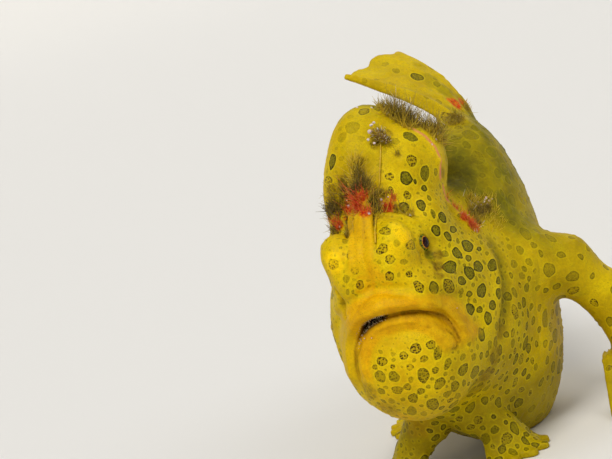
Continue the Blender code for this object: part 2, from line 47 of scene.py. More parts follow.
STEP = 0.29           # mesh step of the skin, mm
ORIGIN = np.array((9.3, 47.6, 0.0))      # the middle of the belly's flat, where the part's zero is
POOL = ThreadPoolExecutor(4)

# ------------------------------------------------------------------ shape, millimetres
# +x is the fish's left, +y towards the tail, +z up, measured from the middle of the snout


def smin(a, b, k):
    h = np.maximum(k - np.abs(a - b), 0.0) / k
    return np.minimum(a, b) - h * h * k * 0.25


def smax(a, b, k):
    return -smin(-a, -b, k)


def smoothstep(a, b, x):
    t = np.clip((x - a) / (b - a), 0, 1)
    return t * t * (3 - 2 * t)


def unit(v):
    v = np.array(v, float)
    return v / np.linalg.norm(v)


def axes(u, n):
    u = unit(u)
    n = np.array(n, float)
    n = unit(n - n.dot(u) * u)
    return np.array([u, np.cross(n, u), n])


def turn(ax, ay=0, az=0):
    a, b, c = radians(ax), radians(ay), radians(az)
    X = np.array([[1, 0, 0], [0, cos(a), -sin(a)], [0, sin(a), cos(a)]])
    Y = np.array([[cos(b), 0, sin(b)], [0, 1, 0], [-sin(b), 0, cos(b)]])
    Z = np.array([[cos(c), -sin(c), 0], [sin(c), cos(c), 0], [0, 0, 1]])
    return (Z @ Y @ X).T


def ellipsoid(P, c, r, R=None):
    q = P - np.array(c)
    if R is not None:
        q = q @ R.T
    r = np.array(r)
    k0 = np.sqrt(((q / r) ** 2).sum(1))
    k1 = np.sqrt(((q / r ** 2) ** 2).sum(1))
    return k0 * (k0 - 1.0) / np.maximum(k1, 1e-6)


def cone(P, A, B, ra, rb):
    A = np.array(A, float)
    B = np.array(B, float)
    AB = B - A
    t = np.clip(((P - A) @ AB) / AB.dot(AB), 0, 1)
    return np.linalg.norm(P - A - t[:, None] * AB, axis=1) - (ra + (rb - ra) * t)


def limb(P, stations, k=2.5):
    d = None
    for (A, ra), (B, rb) in zip(stations[:-1], stations[1:]):
        c = cone(P, A, B, ra, rb)
        d = c if d is None else smin(d, c, k)
    return d


def table(x, xs, ys):
    xs = np.array(xs, float)
    ys = np.array(ys, float)
    m = np.gradient(ys, xs)
    i = np.clip(np.searchsorted(xs, x) - 1, 0, len(xs) - 2)
    h = xs[i + 1] - xs[i]
    t = np.clip((x - xs[i]) / h, 0, 1)
    t2, t3 = t * t, t * t * t
    return ((2 * t3 - 3 * t2 + 1) * ys[i] + (t3 - 2 * t2 + t) * h * m[i]
            + (-2 * t3 + 3 * t2) * ys[i + 1] + (t3 - t2) * h * m[i + 1])


def boxed(P, lo, hi, f, far=6.0):
    """f inside a box only, and a safe distance outside it"""
    m = ((P > np.array(lo) - far) & (P < np.array(hi) + far)).all(1)
    out = np.full(len(P), 1e3)
    if m.any():
        out[m] = f(P[m])
    return out


AXIS_Y = (4, 12, 20, 28, 36, 44, 52, 60, 68, 76, 84, 92, 100, 122)
AXIS_X = (0, 0, 0.8, 3.0, 6.0, 8.3, 8.6, 7.9, 6.9, 5.5, 3.1, -0.6, -5.4, -22.5)
TRUNK_Y = (8, 16, 24, 34, 44, 54, 63, 71, 79, 86, 92)
TRUNK_BOT = (17, 12.0, 7.0, 0.6, -1.8, -1.1, 3.0, 9.0, 15.0, 19.3, 20.5)
TRUNK_TOP = (46, 49, 50.5, 54.0, 59.2, 58.6, 53.6, 47.0, 41.0, 37.0, 36.0)
TRUNK_HALF = (9.5, 12.5, 14.8, 14.4, 12.8, 11.4, 9.7, 7.9, 5.9, 4.3, 3.4)
MOUTH_X, MOUTH_Z, MOUTH_HALF, MOUTH_RISE, MOUTH_POWER = 0.6, 24.3, 9.3, 10.1, 2.4
SNOUT_X = -1.9                            # the snout is turned a little to the fish's right
EYE_MID, EYE_OUT, EYE_Y, EYE_Z, EYE_R = -0.95, 7.05, 9.9, 44.2, 2.1


def bend_shift(y):
    return table(np.clip(y, AXIS_Y[0], AXIS_Y[-1]), AXIS_Y, AXIS_X)


def straight(P):
    Q = P.astype(np.float64).copy()
    Q[:, 0] -= bend_shift(Q[:, 1])
    return Q


def trunk_shape(Q):
    x, y, z = Q[:, 0], Q[:, 1], Q[:, 2]
    yc = np.clip(y, TRUNK_Y[0], TRUNK_Y[-1])
    b, t, w = table(yc, TRUNK_Y, TRUNK_BOT), table(yc, TRUNK_Y, TRUNK_TOP), table(yc, TRUNK_Y, TRUNK_HALF)
    zc = b + (t - b) * 0.46
    h = np.where(z > zc, t - zc, zc - b)
    up = np.clip((z - zc) / h, 0, 1)
    dn = np.clip((zc - z) / h, 0, 1)
    w = w * (1 - 0.10 * up * up - (0.30 - 0.16 * smoothstep(20, 40, y)) * dn * dn)
    qx, qz = x / w, (z - zc) / h
    e = 2.2 + 0.6 * smoothstep(28, 42, y) * (1 - smoothstep(60, 80, y)) * (z > zc)
    k0 = (np.abs(qx) ** e + np.abs(qz) ** e) ** (1 / e)
    g = np.sqrt((qx / w) ** 2 + (qz / h) ** 2) / np.maximum(np.sqrt(qx ** 2 + qz ** 2), 1e-6)
    d = np.minimum((k0 - 1) / np.maximum(g, 1e-4), 30)
    end = np.maximum(TRUNK_Y[0] - y, y - TRUNK_Y[-1])
    return smax(d * 0.93, end, 3.0)


def head_shape(Q):
    M = Q.copy()
    M[:, 0] = np.abs(M[:, 0])
    S = Q.copy()
    S[:, 0] = np.abs(S[:, 0] - SNOUT_X)
    d = trunk_shape(Q)
    d = smin(d, ellipsoid(Q, (0, 16.8, 41.0), (9.6, 12.2, 12.5)), 4.0)                 # cranium
    d = smin(d, ellipsoid(M, (7.4, 19.0, 29.0), (7.9, 12.5, 14.0), turn(0, 0, -8)), 4.0)   # cheeks
    d = smin(d, ellipsoid(Q, (0, 9.8, 25.0), (11.4, 9.8, 11.6)), 2.2)                  # lower jaw
    d = smin(d, ellipsoid(Q, (0, 8.2, 36.6), (10.6, 7.8, 5.0)), 3.0)                   # upper lip
    d = smin(d, ellipsoid(S, (3.2, 7.6, 42.2), (4.9, 6.4, 6.6)), 1.8)                  # muzzle
    d = smin(d, ellipsoid(S, (5.2, 6.2, 46.0), (3.1, 3.8, 3.9)), 1.4)                  # bump by each eye
    d = smin(d, cone(Q, (-1.2, 4.0, 42.5), (-1.2, 8.8, 51.0), 1.6, 2.2), 2.0)          # snout ridge
    d = smin(d, ellipsoid(M, (8.0, 16.8, 44.5), (3.0, 4.6, 7.2)), 2.0)                 # ridge behind the eye
    E = Q.copy()
    E[:, 0] = np.abs(E[:, 0] - EYE_MID)
    d = smax(d, -ellipsoid(E, (9.6, 8.0, 44.2), (2.0, 3.0, 2.7), turn(0, 0, 18)), 1.0)  # hollow before the eye
    return smin(d, ellipsoid(E, (6.5, 10.6, 44.3), (2.2, 2.6, 2.7)), 0.8)              # orbit


def hump_shape(Q):
    d = ellipsoid(Q, (-0.9, 21.8, 53.6), (10.8, 8.8, 11.4), turn(-10))
    d = smin(d, ellipsoid(Q, (-2.4, 22.6, 60.2), (6.4, 7.0, 8.9), turn(-16)), 2.6)
    return smin(d, ellipsoid(Q, (4.4, 24.0, 57.2), (5.2, 6.2, 5.6), turn(-16)), 2.4)


def spine2_shape(Q):
    d = cone(Q, (-0.6, 9.6, 49.6), (-1.0, 10.8, 55.0), 2.1, 1.5)
    return smin(d, cone(Q, (-1.0, 10.8, 55.0), (-1.6, 12.9, 60.6), 1.5, 0.6), 1.0)


def mouth_line(Q):
    """0 on the line of the mouth and negative inside the lower jaw, mm"""
    zz = np.maximum(Q[:, 2] - MOUTH_Z, 0) / MOUTH_RISE
    e = MOUTH_POWER
    return ((np.abs((Q[:, 0] - MOUTH_X) / MOUTH_HALF) ** e + zz ** e + 1e-9) ** (1 / e) - 1) * 9.7


def parting(Q):
    """how far the lips are apart (dark gap), how far the upper one overhangs, and where they only touch"""
    x, z = Q[:, 0], Q[:, 2]
    gap = smoothstep(-6.7, -5.0, x) * (1 - smoothstep(-2.2, 0.2, x))
    hang = smoothstep(-2.6, 0.0, x) * (1 - smoothstep(4.4, 7.2, x))
    fade = np.where(x > 0, smoothstep(24.9, 27.2, z), smoothstep(21.5, 26.0, z))
    return gap, hang, fade


def mouth(Q, d):
    m = (Q[:, 1] < 16) & (np.abs(Q[:, 0]) < 15) & (Q[:, 2] > 12) & (Q[:, 2] < 44) & (np.abs(d) < 5)
    if not m.any():
        return d
    q, dm = Q[m], d[m]
    k = mouth_line(q)
    gap, hang, fade = parting(q)
    left = smoothstep(-2, 7, q[:, 0])
    lip = (1.25 - 0.45 * left) * np.exp(-((k - 2.1 + 0.5 * left) / (1.45 - 0.45 * left)) ** 2) * (0.25 + 0.75 * fade)
    low = (0.55 + 0.25 * left) * np.exp(-((k + 1.35) / 1.0) ** 2) * fade
    fold = -0.55 * np.exp(-((k - 4.9 + 1.3 * left) / 0.9) ** 2) * fade
    wide = 0.23 + 0.17 * gap + 0.12 * hang * (1 - gap)
    deep = (0.45 + 2.2 * gap + 0.35 * hang * (1 - gap)) * (1 - 0.55 * smoothstep(-6.6, -8.2, q[:, 0]))
    cleft = -deep * np.exp(-np.abs((k - 0.22 * np.maximum(gap, hang)) / wide) ** 2.6) * fade
    near = smoothstep(4.5, 2.0, np.abs(dm)) * smoothstep(15, 11, q[:, 1])
    out = d.copy()
    out[m] = dm - (lip + low + fold + cleft) * near
    return out


def fan(P, f):
    """a blade of skin on rays: f holds its frame, span, reach, thickness and curl"""
    q = (P - np.array(f['O'])) @ f['F'].T
    if 'lean' in f:
        u, v, n = q[:, 0], q[:, 1], q[:, 2]
        A, b = f['lean'](v), f['bend'](v)
        un = u * np.cos(A) + n * np.sin(A)
        nn = -u * np.sin(A) + n * np.cos(A)
        past = un > 0
        q = np.stack([np.where(past, np.arctan2(un, b - nn) * b, un), v,
                      np.where(past, b - np.hypot(un, b - nn), nn)], 1)
    u, v, n = q[:, 0], q[:, 1], q[:, 2]
    ub = u + f['back']
    r, a = np.hypot(ub, v), np.arctan2(v, ub)
    lo, hi = radians(f['lo']), radians(f['hi'])
    s = (a - lo) / (hi - lo) * (f['rays'] - 1)
    ray = np.cos(pi * (s - np.round(s))) ** 2
    R = f['R'](np.clip((a - lo) / (hi - lo), 0, 1))
    t = np.clip((r - f['back']) / (R - f['back']), 0, 1)
    h = f['th'][0] * (1 - t) + f['th'][1] * t + f['ridge'] * ray ** 2 * (1 - 0.3 * t)
    c = f['curl'](t) if 'curl' in f else 0.0
    rim = smax(r - (R - f['web'] * (1 - ray) ** 1.5), np.maximum(lo - a, a - hi) * r - f.get('pad', 1.2), 0.8)
    d = smax(np.abs(n - c) - h, rim, 0.5)
    return smax(d, f['back'] + f['r0'] - r, 0.6)


def palm(base, reach):
    return lambda a: base + reach * (0.72 + 0.28 * np.sin(pi * (0.15 + 0.7 * a)))


def fall(h, end):
    return lambda t: h * (1 - smoothstep(0, end, t)) + 0.45


DORSAL = dict(O=(2.6, 62.5, 50.8), F=axes((0, 0.42, 0.90), (-1, 0, 0)), back=60.0, r0=-4.0, lo=-16.5, hi=17.5, rays=12,
              R=lambda a: 77 + 4.4 * np.sin(pi * (0.30 + 0.66 * a)) ** 0.8 + 5.6 * (1 - smoothstep(-0.04, 0.52, a)) - 6.5 * smoothstep(0.74, 1.06, a),
              web=1.0, ridge=0.30, th=(1.3, 0.40), pad=0.6,
              lean=lambda v: np.radians(44 - 56 * smoothstep(-23, -5, v)),
              bend=lambda v: 60 - 45.0 * smoothstep(-23, -5, v))
ANAL = dict(O=(0, 70.5, 12.6), F=axes((0, 0.52, -0.85), (1, 0, 0)), back=26.0, r0=-2.0, lo=-21, hi=21, rays=7,
            R=lambda a: 26 + 12.0 * np.sin(pi * (0.16 + 0.74 * a)) ** 0.7, web=1.0, ridge=0.28, th=(1.2, 0.42),
            curl=lambda t: 1.2 * t * t)
CAUDAL = dict(O=(0, 90.0, 28.0), F=axes((0, 1, 0.03), (1, 0, 0)), back=10.0, r0=-2.0, lo=-36, hi=36, rays=9,
              R=lambda a: 10 + 27.0 * (0.76 + 0.24 * np.sin(pi * a) ** 0.7), web=1.0, ridge=0.32, th=(1.8, 0.40),
              curl=lambda t: 4.0 * t * t)
PECT_L = dict(O=(33.0, 45.5, 0.0), F=axes((0.86, -0.50, 0), (0, 0, 1)), back=6.0, r0=-3.0, lo=-58, hi=58, rays=10,
              R=palm(6, 12.5), web=2.4, ridge=0.36, th=(2.3, 0.46), curl=fall(7.2, 0.84))
PECT_R = dict(PECT_L, O=(-8.2, 62.0, 0.0), F=axes((-0.80, 0.60, 0), (0, 0, 1)))
PELVIC = dict(O=(8.6, 24.0, 0.0), F=axes((0.78, -0.62, 0), (0, 0, 1)), back=3.5, r0=-2.0, lo=-44, hi=44, rays=5,
              R=palm(3.5, 8.0), web=1.8, ridge=0.34, th=(1.9, 0.55), curl=fall(5.0, 0.82))
ARM_L = (((17.0, 37.0, 32.0), 7.0), ((24.5, 42.0, 29.0), 5.0), ((30.5, 45.2, 20.5), 4.1), ((33.0, 45.5, 8.0), 3.3))
ARM_R = (((-4.0, 41.0, 26.0), 6.6), ((-9.0, 50.0, 21.0), 4.8), ((-10.6, 57.0, 13.6), 3.9), ((-8.4, 61.6, 7.6), 3.2))
LEG = (((4.6, 24.0, 9.0), 4.4), ((8.6, 24.2, 5.0), 2.9))


def eye_centre(side):
    return np.array((EYE_MID + side * EYE_OUT, EYE_Y, EYE_Z))


def eye_look(side):
    return unit((side, -0.33, 0.07))


def fish(P):
    P = P.astype(np.float64)
    Q = straight(P)
    M = Q.copy()
    M[:, 0] = np.abs(M[:, 0])
    d = smin(head_shape(Q), boxed(Q, (-13, 8, 40), (13, 36, 72), hump_shape), 2.6)
    # the hollow behind the third spine, running down each side
    d = smax(d, -ellipsoid(Q, (0, 35.5, 62.0), (30, 3.6, 12.0), turn(-14)), 3.0)
    d = smax(d, -cone(M, (9, 33.5, 54), (16.4, 29.0, 40.5), 3.4, 1.2), 2.2)
    d = mouth(Q, d)
    # the valley where the second spine stands
    d = smax(d, -ellipsoid(Q, (0, 9.6, 54.4), (16, 2.2, 2.6), turn(-30)), 1.6)
    d = smin(d, boxed(Q, (-4, 7, 48), (3, 15, 63), spine2_shape), 1.2)
    # lids round the eyes
    for s in (1, -1):
        c, k = eye_centre(s), eye_look(s)
        m = np.abs(Q - c).max(1) < 5
        if m.any():
            q = Q[m] - c
            along = q @ k
            off = np.linalg.norm(q - along[:, None] * k, axis=1)
            lid = np.hypot(off - 1.66, along - 1.15) - 0.45
            o = smin(d[m], lid, 0.8)
            d[m] = smax(o, -(np.linalg.norm(q, axis=1) - EYE_R + 0.06), 0.12)
    d = smin(d, boxed(Q, (-34, 34, 38), (8, 100, 84), lambda q: fan(q, DORSAL)), 2.0)
    d = smin(d, boxed(Q, (-5, 56, -1), (5, 96, 22), lambda q: fan(q, ANAL)), 2.0)
    d = smin(d, boxed(Q, (-3, 84, 2), (10, 122, 56), lambda q: fan(q, CAUDAL)), 2.0)
    d = smin(d, boxed(P, (8, 26, 0), (54, 66, 42), lambda p: smin(limb(p, ARM_L), fan(p, PECT_L), 2.0)), 4.0)
    d = smin(d, boxed(P, (-30, 28, 0), (8, 86, 34), lambda p: smin(limb(p, ARM_R), fan(p, PECT_R), 2.0)), 4.0)
    W = P.copy()
    W[:, 0] = np.abs(W[:, 0])
    d = smin(d, boxed(W, (0, 8, 0), (22, 34, 16), lambda p: smin(limb(p, LEG), fan(p, PELVIC), 1.5)), 2.0)
    return smax(d, -P[:, 2], 0.4)


def many(f, P, size=60000):
    """f over the rows of P, on all cores"""
    parts = [P[i:i + size] for i in range(0, len(P), size)]
    return np.concatenate(list(POOL.map(f, parts)))


# ------------------------------------------------------------------ mesher
def surface(f, lo, hi, h, k=6, slack=1.9):
    """dual mesh of f = 0 on a grid of step h, looked for only in blocks near it"""
    lo, hi = np.array(lo, float), np.array(hi, float)
    nb = np.ceil((hi - lo) / (h * k)).astype(int)
    n = nb * k + 1
    H = h * k
    cx = [lo[i] + (np.arange(nb[i]) + .5) * H for i in range(3)]
    C = np.stack(np.meshgrid(*cx, indexing='ij'), -1).reshape(-1, 3)
    d = many(f, C)
    active = np.abs(d) < slack * H * 0.87
    grid = np.where(d > 0, 9.0, -9.0).astype(np.float32).reshape(nb)
    for ax in range(3):
        grid = np.repeat(grid, k, ax)
    grid = np.pad(grid, ((0, 1), (0, 1), (0, 1)), mode='edge')
    idx = np.argwhere(active.reshape(nb))
    off = np.stack(np.meshgrid(*[np.arange(k + 1)] * 3, indexing='ij'), -1).reshape(-1, 3)

    def block(b):
        I = (b[:, None, :] * k + off[None]).reshape(-1, 3)
        return I, f(lo + I * h)

    per = 160
    for I, v in POOL.map(block, [idx[s:s + per] for s in range(0, len(idx), per)]):
        grid[I[:, 0], I[:, 1], I[:, 2]] = v
    neg = grid < 0
    c = np.zeros(tuple(n - 1), np.uint8)
    for a in range(8):
        x, y, z = a & 1, (a >> 1) & 1, a >> 2
        c += neg[x:n[0] - 1 + x, y:n[1] - 1 + y, z:n[2] - 1 + z]
    act = (c > 0) & (c < 8)
    cells = np.argwhere(act)
    num = np.full(tuple(n - 1), -1, np.int32)
    num[act] = np.arange(len(cells), dtype=np.int32)
    acc, cnt = np.zeros((len(cells), 3)), np.zeros(len(cells))
    corner = [grid[cells[:, 0] + (a & 1), cells[:, 1] + ((a >> 1) & 1), cells[:, 2] + (a >> 2)] for a in range(8)]
    for a in range(8):
        for ax in range(3):
            if not (a >> ax) & 1:
                va, vb = corner[a], corner[a | (1 << ax)]
                m = (va < 0) != (vb < 0)
                t = np.where(m, va / np.where(m, va - vb, 1), 0)
                p = np.tile(np.array([a & 1, (a >> 1) & 1, a >> 2], float), (len(cells), 1))
                p[:, ax] += t
                acc[m] += p[m]
                cnt[m] += 1
    V = lo + (cells + acc / cnt[:, None]) * h
    quads = []
    for ax in range(3):
        u, v = (ax + 1) % 3, (ax + 2) % 3
        s0, s1 = [slice(None)] * 3, [slice(None)] * 3
        s0[ax], s1[ax] = slice(0, n[ax] - 1), slice(1, n[ax])
        A, B = neg[tuple(s0)], neg[tuple(s1)]
        ch = np.argwhere(A != B)
        ch = ch[(ch[:, u] > 0) & (ch[:, v] > 0) & (ch[:, u] < n[u] - 1) & (ch[:, v] < n[v] - 1)]
        inside = A[ch[:, 0], ch[:, 1], ch[:, 2]]
        eu, ev = np.zeros(3, int), np.zeros(3, int)
        eu[u] = ev[v] = 1
        q = []
        for o in (-eu - ev, -ev, 0 * eu, -eu):
            w = ch + o
            q.append(num[w[:, 0], w[:, 1], w[:, 2]])
        q = np.stack(q, 1)
        q[~inside] = q[~inside][:, ::-1]
        quads.append(q)
    return V, np.concatenate(quads)


TETRA = np.array([[1, -1, -1], [-1, -1, 1], [-1, 1, -1], [1, 1, 1]], float)


def settle(f, P, steps, limit, e=0.05):
    """moves points onto f = 0 and gives the way out there"""
    def slope(p):
        v = [f(p + e * d) for d in TETRA]
        g = sum(a[:, None] * d for a, d in zip(v, TETRA)) / (4 * e)
        return np.column_stack([sum(v) / 4, g])
    for i in range(steps + 1):
        w = many(slope, P)
        g = w[:, 1:]
        if i < steps:
            s = (-w[:, 0] / np.maximum((g * g).sum(1), 0.05))[:, None] * g
            L = np.linalg.norm(s, axis=1)
            P = P + s * np.minimum(1, limit / np.maximum(L, 1e-9))[:, None]
    return P, g / np.maximum(np.linalg.norm(g, axis=1), 1e-9)[:, None]


def vertex_normals(V, Q):
    a, b, c, d = (V[Q[:, i]] for i in range(4))
    n = np.cross(c - a, d - b)
    out = np.zeros_like(V)
    for i in range(4):
        for ax in range(3):
            out[:, ax] += np.bincount(Q[:, i], n[:, ax], len(V))
    return out / np.maximum(np.linalg.norm(out, axis=1), 1e-12)[:, None]


# ------------------------------------------------------------------ smooth random values in space
def lattice(I, seed):
    h = (I[:, 0] * 73856093) ^ (I[:, 1] * 19349663) ^ (I[:, 2] * 83492791) ^ (seed * 2654435761)
    h = (h ^ (h >> 13)) * 1274126177
    return ((h ^ (h >> 16)) & 0xFFFF) / 65535.0


def noise(P, size, seed=1):
    """value noise in 0..1 with cells of this size in mm"""
    q = P / size + 1000.0
    I = np.floor(q).astype(np.int64)
    t = q - I
    t = t * t * (3 - 2 * t)
    out = np.zeros(len(P))
    for a in range(8):
        o = np.array([a & 1, (a >> 1) & 1, a >> 2])
        w = np.prod(np.where(o == 1, t, 1 - t), axis=1)
        out += w * lattice(I + o, seed)
    return out


def layered(P, size, seed, layers=3):
    return sum(noise(P, size / 2 ** i, seed + i) * 0.5 ** i for i in range(layers)) / sum(0.5 ** i for i in range(layers))


# ------------------------------------------------------------------ the photograph's camera
WIDE, HIGH = 612, 459
AZ, EL, ROLL, DIST, PIXEL = 16.0, 8.0, 16.0, 400.0, 0.173      # degrees and mm
AIM, AT = np.array((0.0, 2.0, 34.0)), (391.0, 318.0)
_a, _e, _r = radians(AZ), radians(EL), radians(ROLL)
BACK = np.array((sin(_a) * cos(_e), -cos(_a) * cos(_e), sin(_e)))
_right0 = np.array((cos(_a), sin(_a), 0.0))
_up0 = np.cross(BACK, _right0)
RIGHT = cos(_r) * _right0 - sin(_r) * _up0
UP = sin(_r) * _right0 + cos(_r) * _up0
FOCAL = DIST / PIXEL
EYEPOINT = AIM + BACK * DIST - RIGHT * (AT[0] - WIDE / 2) * PIXEL - UP * (HIGH / 2 - AT[1]) * PIXEL


def to_picture(P):
    q = np.atleast_2d(P) - EYEPOINT
    d = -(q @ BACK)
    return np.stack([WIDE / 2 + FOCAL * (q @ RIGHT) / d, HIGH / 2 - FOCAL * (q @ UP) / d], 1)


def sight(px, py):
    return unit(RIGHT * (px - WIDE / 2) / FOCAL + UP * (HIGH / 2 - py) / FOCAL - BACK)


# ------------------------------------------------------------------ the skin's mesh
V, Q = surface(fish, (-50, -4, -1.5), (64, 124, 84), STEP)
V, N = settle(fish, V, 1, 0.5 * STEP)
V = V.astype(np.float64)
tree = BVHTree.FromPolygons(V.tolist(), Q.tolist())


def on_skin(px, py):
    """the place on the skin behind a pixel of the photograph, and the way out there"""
    hit, normal, face, _ = tree.ray_cast(Vector(EYEPOINT), Vector(sight(px, py)))
    if hit is None:
        return None, None
    return np.array(hit), np.array(normal)


class Near:
    """the vertices round a place, found through a grid of 3 mm boxes"""
    SIZE = 3.0

    def __init__(self, V):
        self.V = V
        self.lo = V.min(0) - self.SIZE
        I = ((V - self.lo) / self.SIZE).astype(np.int64)
        self.n = I.max(0) + 3
        key = (I[:, 0] * self.n[1] + I[:, 1]) * self.n[2] + I[:, 2]
        self.order = np.argsort(key, kind='stable')
        self.key = key[self.order]

    def __call__(self, c, r):
        a = np.floor((np.array(c) - r - self.lo) / self.SIZE).astype(np.int64)
        b = np.floor((np.array(c) + r - self.lo) / self.SIZE).astype(np.int64)
        got = []
        for i in range(a[0], b[0] + 1):
            for j in range(a[1], b[1] + 1):
                k = (i * self.n[1] + j) * self.n[2]
                s, e = np.searchsorted(self.key, k + a[2]), np.searchsorted(self.key, k + b[2] + 1)
                got.append(self.order[s:e])
        got = np.concatenate(got)
        return got[((self.V[got] - c) ** 2).sum(1) < r * r]


near = Near(V)
picture = to_picture(V)
facing = N @ BACK
front = smoothstep(0.0, 0.2, facing)

# ------------------------------------------------------------------ relief
lift = np.zeros(len(V))


def route(points, step=2.0):
    """a line of pixels laid on the skin, close enough to measure from"""
    p = np.array(points, float)
    out = []
    for (a, b) in zip(p[:-1], p[1:]):
        n = max(1, int(np.hypot(*(b - a)) / step))
        for i in range(n):
            out.append(a + (b - a) * i / n)
    out.append(p[-1])
    got = [on_skin(*q)[0] for q in out]
    return np.array([g for g in got if g is not None])


def along(points, width, reach=3.0):
    """vertices near a line on the skin, how near (0..1) and how far along it they are (0..1)"""
    L = route(points)
    best = {}
    idx = np.unique(np.concatenate([near(c, width * reach + 0.4) for c in L]))
    d = np.full(len(idx), 1e9)
    t = np.zeros(len(idx))
    P = V[idx]
    for i in range(len(L) - 1):
        A, B = L[i], L[i + 1]
        AB = B - A
        if AB.dot(AB) > 9.0 or AB.dot(AB) < 1e-8:
            continue
        s = np.clip(((P - A) @ AB) / AB.dot(AB), 0, 1)
        e = np.linalg.norm(P - A - s[:, None] * AB, axis=1)
        m = e < d
        d[m] = e[m]
        t[m] = (i + s[m]) / (len(L) - 1)
    return idx, np.exp(-(d / width) ** 2), t


def fold(points, width, depth, ends=0.15):
    """a groove, or with a negative depth a ridge, that runs out at both ends"""
    idx, w, t = along(points, width)
    lift[idx] -= depth * w * smoothstep(0, ends, t) * (1 - smoothstep(1 - ends, 1, t))
    return idx, w


fold([(446, 327), (454, 335), (458.5, 343), (457, 348.5), (451, 349)], 0.24, 0.34, 0.1)       # corner of the lips
fold([(351, 327), (353, 314), (361, 303), (371, 295.5), (384, 292), (399, 294), (413, 298), (430, 305),
      (442, 313), (453, 323), (461, 333), (465, 343), (464, 353)], 0.55, 0.30, 0.12)          # over the upper lip
fold([(364, 338), (360, 345), (357, 356), (357, 368), (361, 381)], 0.55, 0.30, 0.2)           # cheek against chin
fold([(416, 322.5), (432, 324), (445, 331), (452, 341)], 0.18, 0.12)                          # lines in the lower lip
fold([(420, 326.5), (432, 328.5), (443, 335), (449, 345)], 0.20, 0.10)
fold([(398, 323), (415, 325), (426, 330), (436, 338)], 0.26, 0.07)
fold([(347.5, 214), (346.5, 224), (348, 241)], 0.32, 0.70, 0.2)                               # sides of the column
fold([(374, 204), (374.3, 225), (375, 250)], 0.24, 0.40, 0.2)
fold([(357, 218), (356.5, 240), (358, 262)], 0.30, 0.14, 0.2)
fold([(365, 218), (365.5, 238), (367, 258)], 0.30, 0.12, 0.2)
fold([(328, 286), (336, 291), (342, 302), (346, 322)], 0.50, 0.75, 0.2)                       # under the far bump
fold([(376, 211), (390, 210), (404, 211.5), (419, 217)], 0.5, 0.45, 0.25)
fold([(376, 217), (390, 216), (404, 218), (417, 224), (421, 234)], 0.60, -0.50, 0.2)          # brow
fold([(420, 250), (422, 258), (425, 268)], 0.5, 0.35, 0.3)                                  # snout against the eye
fold([(435, 253), (438, 263), (440, 275)], 0.80, 0.60, 0.3)                                   # hollow behind the eye
fold([(396, 119), (410, 127), (425, 136.5), (434.5, 147), (439.5, 160), (440.5, 178)], 0.35, -0.16, 0.1)
fold([(446, 200), (452, 208.5), (461, 217.5), (471, 228)], 0.45, -0.45, 0.15)                 # edge of the cheek
fold([(401, 136), (410, 137.5), (417, 141)], 0.30, 0.14, 0.3)
CHEEK_EDGE = [(475, 233), (490, 241), (502, 258), (508, 280), (508, 305), (503, 335), (494, 362)]
fold(CHEEK_EDGE, 1.8, 1.0, 0.35)
fold([(468, 236), (483, 245), (493, 262), (498, 284), (497, 312)], 1.3, -0.35, 0.2)
fold([(393, 158), (401, 157), (409, 152)], 0.5, 0.10, 0.3)


def dimple(px, py, r, depth):
    c, n = on_skin(px, py)
    if c is not None:
        idx = near(c, 2.6 * r)
        lift[idx] -= depth * np.exp(-((V[idx] - c) ** 2).sum(1) / r ** 2)


dimple(368, 277, 2.2, 0.45)
dimple(380, 262, 1.6, 0.25)
dimple(384, 279, 1.4, 0.18)
dimple(398, 262, 2.0, 0.15)
for _x, _y, _r, _d in ((372, 166, 2.4, 0.45), (347, 150, 3.2, -0.40), (412, 152, 2.6, -0.35), (395, 170, 1.8, 0.30), (352, 125, 2.6, -0.25),
                       (425, 182, 1.8, 0.25), (388, 130, 1.8, 0.25), (335, 185, 2.2, 0.35), (430, 255, 1.2, 0.30), (405, 238, 1.8, -0.30),
                       (395, 288, 2.2, 0.20), (345, 268, 1.6, 0.30), (352, 262, 1.4, -0.20), (440, 320, 1.8, 0.20), (463, 290, 2.4, -0.25),
                       (480, 320, 2.2, 0.20), (452, 262, 1.8, -0.25), (338, 318, 2.0, 0.30), (385, 240, 1.6, -0.18)):
    dimple(_x, _y, _r, _d)
# the smooth column down the middle of the snout
px, py = picture.T
on_snout = front * (V[:, 1] < 13)
column = (smoothstep(346.5, 350, px) * (1 - smoothstep(371, 375, px)) * smoothstep(212, 218, py)
          * (1 - smoothstep(262, 284, py)) * on_snout)
lift += 0.34 * column

QV = straight(V)
K = mouth_line(QV)
gap, hang, fade = parting(QV)
by_mouth = (QV[:, 1] < 13) & (QV[:, 2] > 14) & (np.abs(QV[:, 0]) < 13)
left = smoothstep(-2, 7, QV[:, 0])
lips = np.where(by_mouth, smoothstep(-3.6, -2.4, K) * (1 - smoothstep(4.0 - 1.4 * left, 5.4 - 1.6 * left, K + 1.2 * (noise(V, 3.0, 77) - 0.5))) * fade, 0.0)
inner = np.where(by_mouth, np.exp(-np.abs((K - 0.25) / (0.30 + 0.40 * gap)) ** 3) * fade, 0.0)
under_lip_shade = np.where(by_mouth, np.exp(-np.abs((K - 0.05) / 0.85) ** 3) * fade * np.maximum(hang, gap), 0.0)
smooth_skin = np.clip(np.maximum(lips, column), 0, 1)

# fine unevenness of the skin, little on the lips
rough_skin = 1 - 0.75 * smooth_skin
rough_skin *= smoothstep(0.5, 2.0, V[:, 2])
lift += rough_skin * (0.34 * (layered(V, 3.6, 3) - 0.5) + 0.17 * (layered(V, 1.3, 9) - 0.5))
lift += (1 - rough_skin) * 0.05 * (layered(V, 2.4, 15) - 0.5) * smoothstep(0.5, 2.0, V[:, 2])
lift += 0.055 * lips * np.sin(2 * pi * (K / 1.05 + 0.7 * noise(V, 3.0, 61))) * smoothstep(0.5, 1.2, np.abs(K - 0.3))

